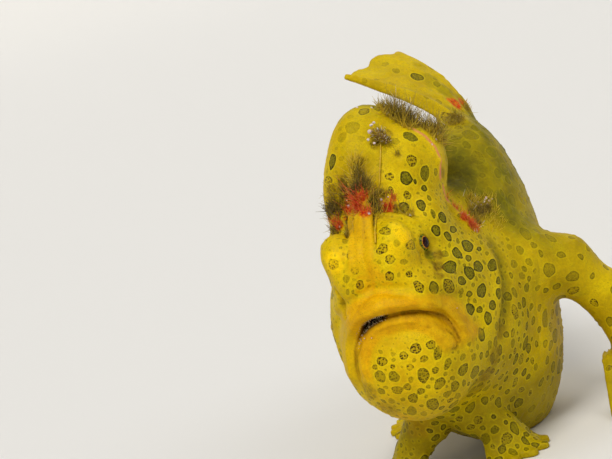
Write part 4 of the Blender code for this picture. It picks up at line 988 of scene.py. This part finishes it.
class Paint:
    """a short way to build a node material"""

    def __init__(self, name):
        self.material = bpy.data.materials.new(name)
        self.material.use_nodes = True
        self.tree = self.material.node_tree
        self.bsdf = self.tree.nodes['Principled BSDF']
        self.where = self.add('ShaderNodeTexCoord').outputs['Object']

    def add(self, kind, **settings):
        n = self.tree.nodes.new(kind)
        for k, v in settings.items():
            setattr(n, k, v)
        return n

    def put(self, socket, value):
        if isinstance(value, bpy.types.NodeSocket):
            self.tree.links.new(value, socket)
        else:
            socket.default_value = value

    def mark(self, name):
        return self.add('ShaderNodeAttribute', attribute_name=name, attribute_type='GEOMETRY').outputs['Fac']

    def math(self, op, a, b=0.0, clamp=False):
        n = self.add('ShaderNodeMath', operation=op, use_clamp=clamp)
        self.put(n.inputs[0], a)
        self.put(n.inputs[1], b)
        return n.outputs[0]

    def times(self, *values):
        out = values[0]
        for v in values[1:]:
            out = self.math('MULTIPLY', out, v)
        return out

    def span(self, value, a, b, c=0.0, d=1.0):
        n = self.add('ShaderNodeMapRange', interpolation_type='SMOOTHSTEP')
        self.put(n.inputs['Value'], value)
        for k, v in (('From Min', a), ('From Max', b), ('To Min', c), ('To Max', d)):
            n.inputs[k].default_value = v
        return n.outputs['Result']

    def mix(self, fac, a, b):
        n = self.add('ShaderNodeMix', data_type='RGBA')
        self.put(n.inputs[0], fac)
        self.put(n.inputs[6], a)
        self.put(n.inputs[7], b)
        return n.outputs[2]

    def shade(self, colour, value):
        """colour times a grey value"""
        n = self.add('ShaderNodeMix', data_type='RGBA', blend_type='MULTIPLY')
        n.inputs[0].default_value = 1.0
        self.put(n.inputs[6], colour)
        g = self.add('ShaderNodeCombineColor')
        for i in range(3):
            self.put(g.inputs[i], value)
        self.put(n.inputs[7], g.outputs[0])
        return n.outputs[2]

    def ramp(self, value, stops):
        n = self.add('ShaderNodeValToRGB')
        e = n.color_ramp.elements
        while len(e) < len(stops):
            e.new(0.5)
        for el, (p, c) in zip(e, stops):
            el.position = p
            el.color = c
        self.put(n.inputs['Fac'], value)
        return n.outputs['Color']

    def noise(self, size, detail=3.0, rough=0.55, warp=0.0):
        n = self.add('ShaderNodeTexNoise')
        n.inputs['Scale'].default_value = 1000.0 / size
        n.inputs['Detail'].default_value = detail
        n.inputs['Roughness'].default_value = rough
        n.inputs['Distortion'].default_value = warp
        self.put(n.inputs['Vector'], self.where)
        return n.outputs['Fac']

    def cells(self, size, feature='F1', jitter=1.0):
        n = self.add('ShaderNodeTexVoronoi', feature=feature)
        n.inputs['Scale'].default_value = 1000.0 / size
        n.inputs['Randomness'].default_value = jitter
        self.put(n.inputs['Vector'], self.where)
        return n.outputs['Distance']

    def bump(self, height, distance, strength=1.0, normal=None):
        n = self.add('ShaderNodeBump')
        n.inputs['Strength'].default_value = strength
        n.inputs['Distance'].default_value = distance
        self.put(n.inputs['Height'], height)
        if normal is not None:
            self.put(n.inputs['Normal'], normal)
        return n.outputs['Normal']

    def done(self, colour, rough, normal=None, **constants):
        self.put(self.bsdf.inputs['Base Color'], colour)
        self.put(self.bsdf.inputs['Roughness'], rough)
        if normal is not None:
            self.put(self.bsdf.inputs['Normal'], normal)
        for k, v in constants.items():
            self.bsdf.inputs[k.replace('_', ' ')].default_value = v
        return self.material


def skin_material():
    p = Paint('frogfish_skin')
    broad, mid, fine = p.noise(7.0, 3), p.noise(2.3, 3), p.noise(0.55, 3, 0.6)
    base = p.ramp(broad, [(0.30, tint(188, 156, 0)), (0.50, tint(208, 175, 0)), (0.72, tint(222, 192, 1))])
    base = p.mix(p.span(mid, 0.54, 0.72, 0, 0.60), base, tint(186, 164, 2))
    # painted highlight on the bumps and the lip
    base = p.mix(p.times(p.mark('painted_highlight'), 0.9), base, p.ramp(mid, [(0.3, tint(246, 198, 1)), (0.7, tint(255, 214, 4))]))
    # orange lips and column, with painted shade in the hollows by the snout and chin
    base = p.mix(p.times(p.mark('orange_and_shade'), 0.95), base,
                 p.ramp(mid, [(0.30, tint(206, 142, 1)), (0.52, tint(224, 164, 1)), (0.75, tint(238, 186, 3))]))
    # olive back, with painted shade under the body, in the cut behind the hump and behind the cheek
    base = p.mix(p.mark('olive_and_shade'), base, p.ramp(mid, [(0.30, tint(88, 84, 1)), (0.55, tint(118, 110, 2)), (0.75, tint(148, 136, 3))]))
    # grains of pigment, all over
    grain = p.cells(0.30)
    base = p.mix(p.times(p.span(grain, 0.36, 0.16), p.span(p.noise(3.5, 2), 0.34, 0.64, 0.05, 0.46)), base, tint(122, 100, 1))
    # spots
    s, strong, dots = p.mark('spot'), p.mark('power'), p.mark('rosette')
    s = p.math('ADD', s, p.math('MULTIPLY', p.math('SUBTRACT', fine, 0.5), 0.16))
    inside = p.span(s, 0.05, -0.07)
    halo = p.times(p.span(s, 0.42, 0.06), p.math('SUBTRACT', 1.0, inside), strong, 0.35)
    base = p.mix(halo, base, tint(228, 204, 6))
    fill = p.mix(p.span(mid, 0.4, 0.7), tint(116, 108, 3), tint(92, 88, 2))
    fill = p.mix(p.span(p.cells(0.55, jitter=0.9), 0.42, 0.14, 0.0, 0.6), fill, tint(166, 150, 5))
    solid = p.times(inside, strong, p.math('SUBTRACT', 0.82, p.math('MULTIPLY', dots, 0.52)))
    base = p.mix(p.math('MINIMUM', solid, 0.92), base, fill)
    rim = p.times(p.span(s, -0.36, -0.10), inside, p.mark('rimmed'), strong, 0.95)
    base = p.mix(p.math('MINIMUM', rim, 1.0), base, tint(50, 46, 1))
    speck = p.cells(0.40, jitter=0.80)
    edge = p.span(s, -0.85, -0.12, 0.60, 1.0)
    dotted = p.times(p.span(speck, 0.50, 0.30), inside, edge, strong, p.math('ADD', 0.50, p.math('MULTIPLY', dots, 0.75)))
    base = p.mix(p.math('MINIMUM', dotted, 0.97), base, p.mix(dots, tint(46, 42, 1), tint(66, 42, 1)))
    # brown film, partly painted shade in creases, hollows and the lip line; red crusts and the pink edge
    crumb = p.span(p.noise(0.8, 4, 0.65), 0.35, 0.62)
    base = p.mix(p.math('MULTIPLY', p.mark('brown_and_shade'), p.math('ADD', 0.45, p.math('MULTIPLY', crumb, 0.5))), base,
                 p.ramp(fine, [(0.3, tint(56, 36, 3)), (0.55, tint(92, 62, 4)), (0.75, tint(120, 84, 6))]))
    redness = p.math('MULTIPLY', p.mark('red'), p.math('ADD', 0.62, p.math('MULTIPLY', crumb, 0.45)), clamp=True)
    base = p.mix(redness, base, p.ramp(fine, [(0.3, tint(150, 26, 4)), (0.52, tint(204, 48, 8)), (0.72, tint(232, 96, 34))]))
    base = p.mix(p.times(p.mark('pink'), 0.8), base, tint(222, 112, 104))
    # painted shade in the mouth's cleft
    base = p.mix(p.mark('cleft_shade'), base, tint(84, 36, 4))
    base = p.shade(base, p.span(fine, 0.25, 0.75, 0.88, 1.06))
    height = p.math('ADD', p.math('MULTIPLY', p.cells(0.42, 'SMOOTH_F1'), -0.6), p.math('MULTIPLY', fine, 0.7))
    height = p.math('ADD', height, p.math('MULTIPLY', p.times(inside, strong), -0.25))
    normal = p.bump(height, 0.00015, 0.70)
    rough = p.span(fine, 0.3, 0.7, 0.46, 0.64)
    return p.done(base, rough, normal, Subsurface_Weight=0.10, Subsurface_Radius=(1.0, 0.55, 0.05), Subsurface_Scale=0.0009,
                  Specular_IOR_Level=0.10)


skin.data.materials.append(skin_material())


# ------------------------------------------------------------------ eyes
def eye_mesh(name, centre, look):
    """a ball with a bulging clear front, turned about its line of sight; 'turn' marks how far from that line a point is"""
    rings, seg = 40, 72
    u, w = tangents(look)
    P, off, spin = [], [], []
    for i in range(rings + 1):
        t = pi * (i / rings) ** 1.15
        r = (EYE_R - 0.02) * (1 + 0.075 * math.exp(-(t / 0.55) ** 2))
        for j in range(seg):
            a = 2 * pi * j / seg
            P.append(centre + r * (cos(t) * look + sin(t) * (cos(a) * u + sin(a) * w)))
            off.append(t)
            spin.append(a)
    F = []
    for i in range(rings):
        for j in range(seg):
            k = (j + 1) % seg
            F.append((i * seg + j, (i + 1) * seg + j, (i + 1) * seg + k, i * seg + k))
    ob = mesh_object(name, P, F, dict(turn=off, spin=np.sin(np.array(spin) * 9)))
    return ob


def eye_material():
    p = Paint('frogfish_eye')
    t = p.mark('turn')
    wob = p.math('MULTIPLY', p.math('SUBTRACT', p.noise(0.35, 2), 0.5), 0.16)
    t = p.math('ADD', t, wob)
    rays = p.span(p.mark('spin'), 0.15, 0.75)
    iris = p.mix(rays, tint(112, 118, 8), tint(52, 54, 4))
    iris = p.mix(p.span(p.noise(0.18, 3), 0.45, 0.65, 0.0, 0.6), iris, tint(38, 58, 14))
    col = p.mix(p.span(t, 0.60, 0.53), iris, tint(206, 128, 10))           # bright ring at the pupil
    col = p.mix(p.span(t, 0.54, 0.48), col, tint(34, 3, 4))                # pupil, dark red
    col = p.mix(p.span(t, 0.30, 0.10), col, tint(12, 2, 3))
    col = p.mix(p.span(t, 0.86, 1.05), col, tint(30, 34, 8))               # dark rim under the lid
    return p.done(col, 0.22, p.bump(p.noise(0.3, 2), 0.00003, 0.3), Specular_IOR_Level=0.12, Coat_Weight=0.12, Coat_Roughness=0.03)


eye_paint = eye_material()
eyes = []
for side, word in ((1, 'left'), (-1, 'right')):
    ob = eye_mesh('eyeball_' + word, eye_centre(side), eye_look(side))
    ob.data.materials.append(eye_paint)
    eyes.append(ob)


# ------------------------------------------------------------------ strands and small solids
def tubes(roots, ways, lengths, radii, bends, sides=4, rings=5, blunt=0.25):
    """tapered threads: each starts at its root, goes its way and bends; gives points, faces, uv and which thread"""
    roots, ways, bends = (np.asarray(a, float) for a in (roots, ways, bends))
    lengths, radii = np.asarray(lengths, float), np.asarray(radii, float)
    n = len(roots)
    ref = np.where(np.abs(ways[:, 2:3]) < 0.9, np.array([[0, 0, 1.0]]), np.array([[1.0, 0, 0]]))
    u = np.cross(ways, ref)
    u /= np.linalg.norm(u, axis=1)[:, None]
    w = np.cross(ways, u)
    P = np.zeros((n, rings, sides, 3))
    for i in range(rings):
        t = i / (rings - 1)
        c = roots + ways * (lengths * t)[:, None] + bends * (lengths * t * t)[:, None]
        r = radii * (1 - (1 - blunt) * t ** 1.5)
        for j in range(sides):
            a = 2 * pi * j / sides
            P[:, i, j] = c + r[:, None] * (cos(a) * u + sin(a) * w)
    base = (np.arange(n) * rings * sides)[:, None]
    F = []
    for i in range(rings - 1):
        for j in range(sides):
            k = (j + 1) % sides
            F.append(np.concatenate([base + i * sides + j, base + i * sides + k, base + (i + 1) * sides + k, base + (i + 1) * sides + j], 1))
    if sides == 4:
        F.append(np.concatenate([base + (rings - 1) * sides + j for j in range(4)], 1))
        F.append(np.concatenate([base + 3 - j for j in range(4)], 1))
    F = np.stack(F, 1).reshape(-1, 4)
    at = unwrap(roots)
    grid = np.zeros((n, rings, sides, 2))
    for i in range(rings):
        for j in range(sides):
            grid[:, i, j] = at + 0.003 * np.array((j / max(1, sides - 1) - 0.5, i / (rings - 1) - 0.5))
    return P.reshape(-1, 3), F, grid.reshape(-1, 2), np.repeat(np.arange(n), rings * sides), np.tile(np.repeat(np.linspace(0, 1, rings), sides), n)


def strand_material():
    p = Paint('frogfish_filament')
    fine = p.noise(0.5, 3)
    tip = p.mark('tip')
    # brown from the roots, painted shade included
    col = p.mix(p.mark('brown_and_shade'), p.ramp(fine, [(0.3, tint(196, 162, 10)), (0.7, tint(224, 190, 30))]),
                p.ramp(fine, [(0.3, tint(40, 30, 2)), (0.5, tint(70, 56, 3)), (0.72, tint(108, 86, 5))]))
    col = p.mix(p.mark('red'), col, p.ramp(fine, [(0.3, tint(170, 30, 6)), (0.55, tint(222, 62, 16)), (0.75, tint(238, 120, 60))]))
    col = p.mix(p.mark('pale'), col, tint(226, 214, 206))
    col = p.mix(p.times(tip, 0.18), col, tint(160, 130, 10))
    return p.done(col, p.span(fine, 0.3, 0.7, 0.45, 0.65), Subsurface_Weight=0.15, Subsurface_Radius=(1.0, 0.5, 0.15), Subsurface_Scale=0.0004)


strand_paint = strand_material()
rng = np.random.default_rng(5)


def where(mask, count):
    """vertices picked with the chance that the mask gives"""
    w = np.clip(mask, 0, None)
    if w.sum() <= 0:
        return np.zeros(0, int)
    return rng.choice(len(V), size=count, p=w / w.sum())


def bunch(name, idx, length, radius, stand, droop=0.35, pale=0.0, blunt=0.25):
    n = len(idx)
    flow = np.column_stack([rng.normal(0, 0.35, n), rng.normal(0.25, 0.35, n), rng.normal(0.6, 0.4, n)])
    flow -= (flow * N[idx]).sum(1)[:, None] * N[idx]
    ways = N[idx] * stand + flow * (1 - stand * 0.6) + rng.normal(0, 0.25, (n, 3))
    ways /= np.linalg.norm(ways, axis=1)[:, None]
    out = (ways * N[idx]).sum(1)
    ways += N[idx] * np.maximum(0.12 - out, 0)[:, None]
    ways /= np.linalg.norm(ways, axis=1)[:, None]
    bends = rng.normal(0, 0.42, (n, 3)) + np.array((0, 0, droop))
    L = length * rng.uniform(0.5, 1.25, n)
    P, F, uv, who, t = tubes(V[idx] - N[idx] * 0.05, ways, L, radius * rng.uniform(0.7, 1.2, n), bends, blunt=blunt)
    # the filaments take their roots' red and brown, painted shade included
    marks = dict(red=np.clip(red[idx] * 1.2, 0, 1)[who], brown_and_shade=np.clip(brown_and_shade[idx] * 1.15 + rng.uniform(-0.15, 0.15, n), 0, 1)[who],
                 tip=t, pale=(rng.random(n) < pale).astype(float)[who])
    ob = mesh_object(name, P, F, marks, uv)
    ob.data.materials.append(strand_paint)
    return ob


coats = []
brow_zone = np.maximum(red, brown_and_shade) * (V[:, 1] < 17) * (V[:, 2] > 47.5)
coats.append(bunch('filaments_brow', where(brow_zone ** 1.5, 1500), 1.05, 0.060, 0.55))
spine_zone = (spine2_shape(QV) < 0.9) * (V[:, 2] > 50.5)
coats.append(bunch('filaments_spine', where(spine_zone.astype(float), 520), 1.7, 0.070, 0.45, 0.5))
tall = crest_zone * smoothstep(0.25, 0.6, n2)
coats.append(bunch('filaments_crest', where(tall, 5400), 1.2, 0.078, 0.30, 0.05, 0.004))
coats.append(bunch('filaments_crest_long', where(tall * smoothstep(385, 395, picture[:, 0]) * smoothstep(0.40, 0.62, n3), 2000), 2.6, 0.055, 0.5, 0.3, 0.012))
nape = brown_and_shade * (V[:, 1] > 25) * (V[:, 2] > 57) * (1 - crest_zone)
coats.append(bunch('filaments_nape', where(nape ** 1.5, 900), 0.8, 0.055, 0.5, 0.3, 0.01))
edge_zone = np.maximum(red, 0.8 * brown_and_shade * (picture[:, 0] > 458) * (picture[:, 1] > 196) * (picture[:, 1] < 234)) * (V[:, 1] > 18) * front * (V[:, 2] < 56)
coats.append(bunch('filaments_cheek_edge', where(edge_zone, 1100), 0.9, 0.055, 0.55, 0.3, 0.02))

# tiny skin prickles over head and trunk, each a short tapered point
ok = (smooth_skin < 0.2) & (V[:, 2] > 4) & (inner < 0.05) & (np.abs(V[:, 0]) < 26) & (V[:, 1] < 88)
idx = rng.choice(np.flatnonzero(ok), 5200, replace=False)
n = len(idx)
way = N[idx] * 0.8 + np.array((0, 0.5, 0)) + rng.normal(0, 0.12, (n, 3))
way /= np.linalg.norm(way, axis=1)[:, None]
P, F, uv, who, t = tubes(V[idx] - N[idx] * 0.05, way, rng.uniform(0.14, 0.26, n), rng.uniform(0.035, 0.055, n),
                         rng.normal(0, 0.15, (n, 3)), rings=3, blunt=0.2)
# the prickles carry the skin's markings, painted shade and painted highlight included
prickles = mesh_object('skin_prickles', P, F, {k: v[idx][who] for k, v in MARKS.items()}, uv)
prickles.data.materials.append(skin.data.materials[0])
coats.append(prickles)


# ------------------------------------------------------------------ teeth, where the lips part
def tooth_rows():
    rows = []
    for row, (k0, lean, size) in enumerate(((-0.42, 1.0, 0.55), (-0.12, 0.8, 0.45), (0.95, -1.0, 0.42))):
        for a in np.linspace(0.04, 0.98, 64):
            u = 2 * a - 1
            x = MOUTH_X + MOUTH_HALF * u * (1 + k0 / 9.7)
            z = MOUTH_Z + MOUTH_RISE * (1 - abs(u) ** MOUTH_POWER) ** (1 / MOUTH_POWER) * (1 + k0 / 9.7)
            g = float(smoothstep(-7.9, -6.4, x) * (1 - smoothstep(-1.4, 0.8, x)))
            if g < 0.25:
                continue
            hit, normal, face, _ = tree.ray_cast(Vector((x, -20, z)), Vector((0, 1, 0)))
            if hit is None:
                continue
            out = unit(((x - MOUTH_X) / MOUTH_HALF ** 2, 0, (z - MOUTH_Z) / MOUTH_RISE ** 2))
            rows.append((np.array(hit) + np.array((0, 0.16, 0)), unit(out * lean + np.array((0, -0.55, 0))) , size * g))
    return rows


rows = tooth_rows()
if rows:
    r0 = np.array([r[0] for r in rows]) + rng.normal(0, 0.07, (len(rows), 3))
    w0 = np.array([r[1] for r in rows]) + rng.normal(0, 0.10, (len(rows), 3))
    w0 /= np.linalg.norm(w0, axis=1)[:, None]
    P, F, uv, who, t = tubes(r0, w0, [r[2] * s for r, s in zip(rows, rng.uniform(0.7, 1.2, len(rows)))],
                             np.full(len(rows), 0.085), np.tile((0, 0.25, 0), (len(rows), 1)), rings=4, blunt=0.12)
    teeth = mesh_object('teeth', P, F, dict(tip=t), uv)
    p = Paint('frogfish_teeth')
    teeth.data.materials.append(p.done(
        p.mix(p.mark('tip'), p.ramp(p.noise(0.4, 2), [(0.3, tint(150, 104, 40)), (0.7, tint(176, 132, 62))]), tint(224, 204, 160)),
        p.span(p.noise(0.3, 2), 0.3, 0.7, 0.2, 0.35), Subsurface_Weight=0.2, Subsurface_Scale=0.0003))
else:
    teeth = None

# ------------------------------------------------------------------ the lure, laid back up the face to the front of the hump
rod_path = [on_skin(x, y) for x, y in ((375.5, 243), (375.3, 232), (375.6, 221), (377, 208), (378.5, 195), (379.5, 180), (380, 165), (380.5, 152), (380.3, 143))]
path = np.array([c + unit(n) * k for (c, n), k in zip(rod_path, (0.0, 0.10, 0.12, 0.2, 0.2, 0.16, 0.16, 0.16, 0.3))])
dense = []
for i in range(len(path) - 1):
    p0, p1, p2, p3 = path[max(i - 1, 0)], path[i], path[i + 1], path[min(i + 2, len(path) - 1)]
    for s in np.linspace(0, 1, 7)[:-1]:
        dense.append(0.5 * ((2 * p1) + (-p0 + p2) * s + (2 * p0 - 5 * p1 + 4 * p2 - p3) * s ** 2 + (-p0 + 3 * p1 - 3 * p2 + p3) * s ** 3))
dense = np.array(dense + [path[-1]])
sides = 10
P, F, band = [], [], []
for i, c in enumerate(dense):
    d = unit(dense[min(i + 1, len(dense) - 1)] - dense[max(i - 1, 0)])
    u = unit(np.cross(d, (1, 0, 0)))
    w = np.cross(d, u)
    r = 0.15 - 0.04 * i / len(dense)
    for j in range(sides):
        a = 2 * pi * j / sides
        P.append(c + r * (cos(a) * u + sin(a) * w))
        band.append(i / len(dense))
for i in range(len(dense) - 1):
    for j in range(sides):
        k = (j + 1) % sides
        F.append((i * sides + j, i * sides + k, (i + 1) * sides + k, (i + 1) * sides + j))
rod = mesh_object('lure_rod', P, F, dict(band=band))
p = Paint('frogfish_lure_rod')
bands = p.math('SINE', p.math('MULTIPLY', p.mark('band'), 58.0))
rod.data.materials.append(p.done(
    p.mix(p.span(bands, 0.3, 0.9, 0.0, 0.30), p.ramp(p.noise(0.8, 3), [(0.3, tint(188, 156, 2)), (0.7, tint(212, 178, 4))]), tint(150, 118, 4)),
    p.span(p.noise(0.5, 2), 0.3, 0.7, 0.38, 0.55), Subsurface_Weight=0.2, Subsurface_Scale=0.0005))
# the bait: a ruffled brown knob with filaments and a few pale grains
knob = []
heart, out = path[-1] + np.array((0.1, -0.3, 1.2)), unit(rod_path[-1][1])
for c, r in ((heart, 0.85), (heart + (0.85, -0.05, -0.45), 0.65), (heart + (-0.65, 0.05, 0.35), 0.5), (heart + (0.15, -0.35, 0.65), 0.45),
             (heart + (1.2, 0.25, -1.2), 0.5)):
    knob.append((c, r))


def knob_field(P):
    d = None
    for c, r in knob:
        e = np.linalg.norm(P - c, axis=1) - r
        d = e if d is None else smin(d, e, 0.5)
    return d - 0.28 * (layered(P, 0.6, 71) - 0.5)


KV, KQ = surface(knob_field, heart - 2.6, heart + 2.6, 0.09, k=4)
bait = mesh_object('lure_bait', KV, KQ)
p = Paint('frogfish_bait')
bait.data.materials.append(p.done(
    p.ramp(p.noise(0.7, 4, 0.65), [(0.30, tint(58, 38, 4)), (0.48, tint(104, 74, 6)), (0.62, tint(150, 118, 12)), (0.80, tint(196, 160, 30))]),
    p.span(p.noise(0.4, 2), 0.3, 0.7, 0.45, 0.65), p.bump(p.noise(0.25, 3), 0.00008, 0.6), Subsurface_Weight=0.1, Subsurface_Scale=0.0004))
KN = vertex_normals(KV, KQ)
pick = rng.choice(len(KV), 360)
n = len(pick)
way = KN[pick] + rng.normal(0, 0.35, (n, 3))
way /= np.linalg.norm(way, axis=1)[:, None]
P, F, uv, who, t = tubes(KV[pick], way, rng.uniform(0.2, 0.75, n), np.full(n, 0.045), rng.normal(0, 0.4, (n, 3)) + (0, 0, 0.3))
bait_threads = mesh_object('lure_threads', P, F, dict(tip=t, red=np.zeros(len(P)), brown_and_shade=(rng.random(n) * 0.9)[who],
                                                      pale=(rng.random(n) < 0.12).astype(float)[who]), uv)
bait_threads.data.materials.append(strand_paint)


# pale grains of silt caught on the bait, the brow and the nape
def grains(name, places, sizes):
    P, F = [], []
    for c, r in zip(places, sizes):
        b = len(P)
        q = rng.normal(0, 1, (3, 3))
        stretch = rng.uniform(0.7, 1.3, 3)
        for i in range(1, 6):
            t = pi * i / 6
            for j in range(8):
                a = 2 * pi * j / 8
                v = np.array((sin(t) * cos(a), sin(t) * sin(a), cos(t))) * stretch
                P.append(c + r * v * (1 + 0.12 * sin(3 * a + 5 * t + q[0, 0])))
        for i in range(4):
            for j in range(8):
                k = (j + 1) % 8
                F.append((b + i * 8 + j, b + (i + 1) * 8 + j, b + (i + 1) * 8 + k, b + i * 8 + k))
        F.append(tuple(b + j for j in (0, 1, 2, 3)))
        F.append(tuple(b + j for j in (0, 3, 4, 7)))
        F.append(tuple(b + j for j in (4, 5, 6, 7)))
        e = b + 32
        F.append(tuple(e + j for j in (3, 2, 1, 0)))
        F.append(tuple(e + j for j in (7, 4, 3, 0)))
        F.append(tuple(e + j for j in (7, 6, 5, 4)))
    return mesh_object(name, P, F)


spots_of_silt = [(369.5, 132, .42), (371, 125.5, .30), (373.5, 123, .26), (378, 131, .34), (368, 140, .26), (374, 143.5, .24), (377, 129, .2),
                 (357, 107.5, .2), (371.5, 108, .22), (398.5, 118.5, .34), (381.2, 200, .30), (382.5, 204, .22), (347, 200, .22), (348.5, 206, .26),
                 (369, 213.5, .28), (411.5, 221.2, .30), (410, 215.3, .22), (388, 197, .18), (436, 139.5, .22), (432, 144.5, .18),
                 (463, 219, .24), (455, 210, .2), (486, 198, .26), (489, 201, .22), (484, 202, .20), (481, 205, .16), (487, 204, .18), (492, 199, .15), (478, 202, .13), (485, 200, .2), (340, 227, .22), (322.5, 206, .2), (457, 308, .13), (371.5, 338, .10), (364.5, 338.5, .12)]
places, sizes = [], []
for x, y, r in spots_of_silt:
    hit, normal, face, _ = tree.ray_cast(Vector(EYEPOINT), Vector(sight(x, y)))
    if hit is not None:
        c = np.array(hit)
        if x < 380 and 120 < y < 146:
            c = c + BACK * 1.3
        places.append(c + BACK * 0.15)
        sizes.append(r)
silt = grains('silt_grains', places, sizes)
p = Paint('frogfish_silt')
silt.data.materials.append(p.done(p.ramp(p.noise(0.35, 3), [(0.3, tint(190, 160, 150)), (0.55, tint(222, 206, 204)), (0.75, tint(244, 238, 240))]),
                                  p.span(p.noise(0.2, 2), 0.3, 0.7, 0.3, 0.5), Subsurface_Weight=0.3, Subsurface_Scale=0.0003))

# ------------------------------------------------------------------ what stands for what
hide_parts('head', 'lower_jaw', 'dorsal_spine_2', 'dorsal_spine_3', 'trunk', 'tail', 'dorsal_fin', 'anal_fin', 'caudal_fin',
            'pectoral_arm_left', 'pectoral_arm_right', 'pectoral_fin_left', 'pectoral_fin_right', 'pelvic_fin_left', 'pelvic_fin_right')
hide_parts('illicium')
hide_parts('eye_left')
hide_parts('eye_right')
pieces = [skin, rod, bait, bait_threads, silt] + eyes + coats + ([teeth] if teeth else [])
for ob in pieces:
    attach(ob, 'root')

# ------------------------------------------------------------------ floor, light and camera
scene = bpy.context.scene
floor_points, floor_faces, around = [], [], 96
profile = [(0.0, 0.0), (1.0, 0.0), (3.6, 0.0), (4.2, 0.04), (4.8, 0.22), (5.3, 0.58), (5.6, 1.1), (5.7, 1.9), (5.7, 2.6)]
for r, z in profile[1:]:
    for j in range(around):
        floor_points.append((r * cos(2 * pi * j / around), r * sin(2 * pi * j / around), z))
centre = len(floor_points)
floor_points.append((0.0, 0.0, 0.0))
for j in range(around):
    k = (j + 1) % around
    floor_faces.append((centre, j, k))
    for i in range(len(profile) - 2):
        floor_faces.append((i * around + j, (i + 1) * around + j, (i + 1) * around + k, i * around + k))
floor = bpy.data.meshes.new('floor')
floor.from_pydata(floor_points, [], floor_faces)
floor.shade_smooth()
floor_ob = bpy.data.objects.new('floor', floor)
scene.collection.objects.link(floor_ob)
p = Paint('studio_floor')
floor.materials.append(p.done(tint(226, 224, 220), 0.8, Specular_IOR_Level=0.1))

world = bpy.data.worlds.new('studio')
scene.world = world
world.use_nodes = True
world.node_tree.nodes['Background'].inputs['Color'].default_value = (0.80, 0.82, 0.86, 1)
world.node_tree.nodes['Background'].inputs['Strength'].default_value = 0.38


def lamp(name, azimuth, height, spread, power, colour=(1, 1, 1)):
    """a far soft lamp; azimuth as the camera's, 0 before the fish's face"""
    light = bpy.data.lights.new(name, 'SUN')
    light.angle = radians(spread)
    light.energy = power
    light.color = colour
    ob = bpy.data.objects.new(name, light)
    a, e = radians(azimuth), radians(height)
    way = Vector((sin(a) * cos(e), -cos(a) * cos(e), sin(e)))
    ob.location = way * 3
    ob.rotation_euler = way.to_track_quat('Z', 'Y').to_euler()
    scene.collection.objects.link(ob)


lamp('key', -4, 50, 22, 1.95, (1.0, 0.98, 0.93))
lamp('side', 66, 44, 34, 0.50, (1.0, 0.98, 0.95))
lamp('rear', 168, 56, 34, 0.45)
lamp('low', -12, 8, 50, 0.28, (1.0, 0.98, 0.94))

data = bpy.data.cameras.new('photo_camera')
camera = bpy.data.objects.new('photo_camera', data)
scene.collection.objects.link(camera)
data.sensor_width = 36.0
data.lens = 36.0 * DIST / (WIDE * PIXEL)
data.clip_start, data.clip_end = 0.01, 50.0
axes3 = Matrix((RIGHT, UP, BACK)).transposed()
camera.matrix_world = Matrix.Translation(Vector((EYEPOINT - ORIGIN) / 1000.0)) @ axes3.to_4x4()
scene.camera = camera
scene.view_settings.view_transform = 'Standard'

print('skin', len(V), 'points', len(Q), 'faces; spots', len(marks), '+', kept)
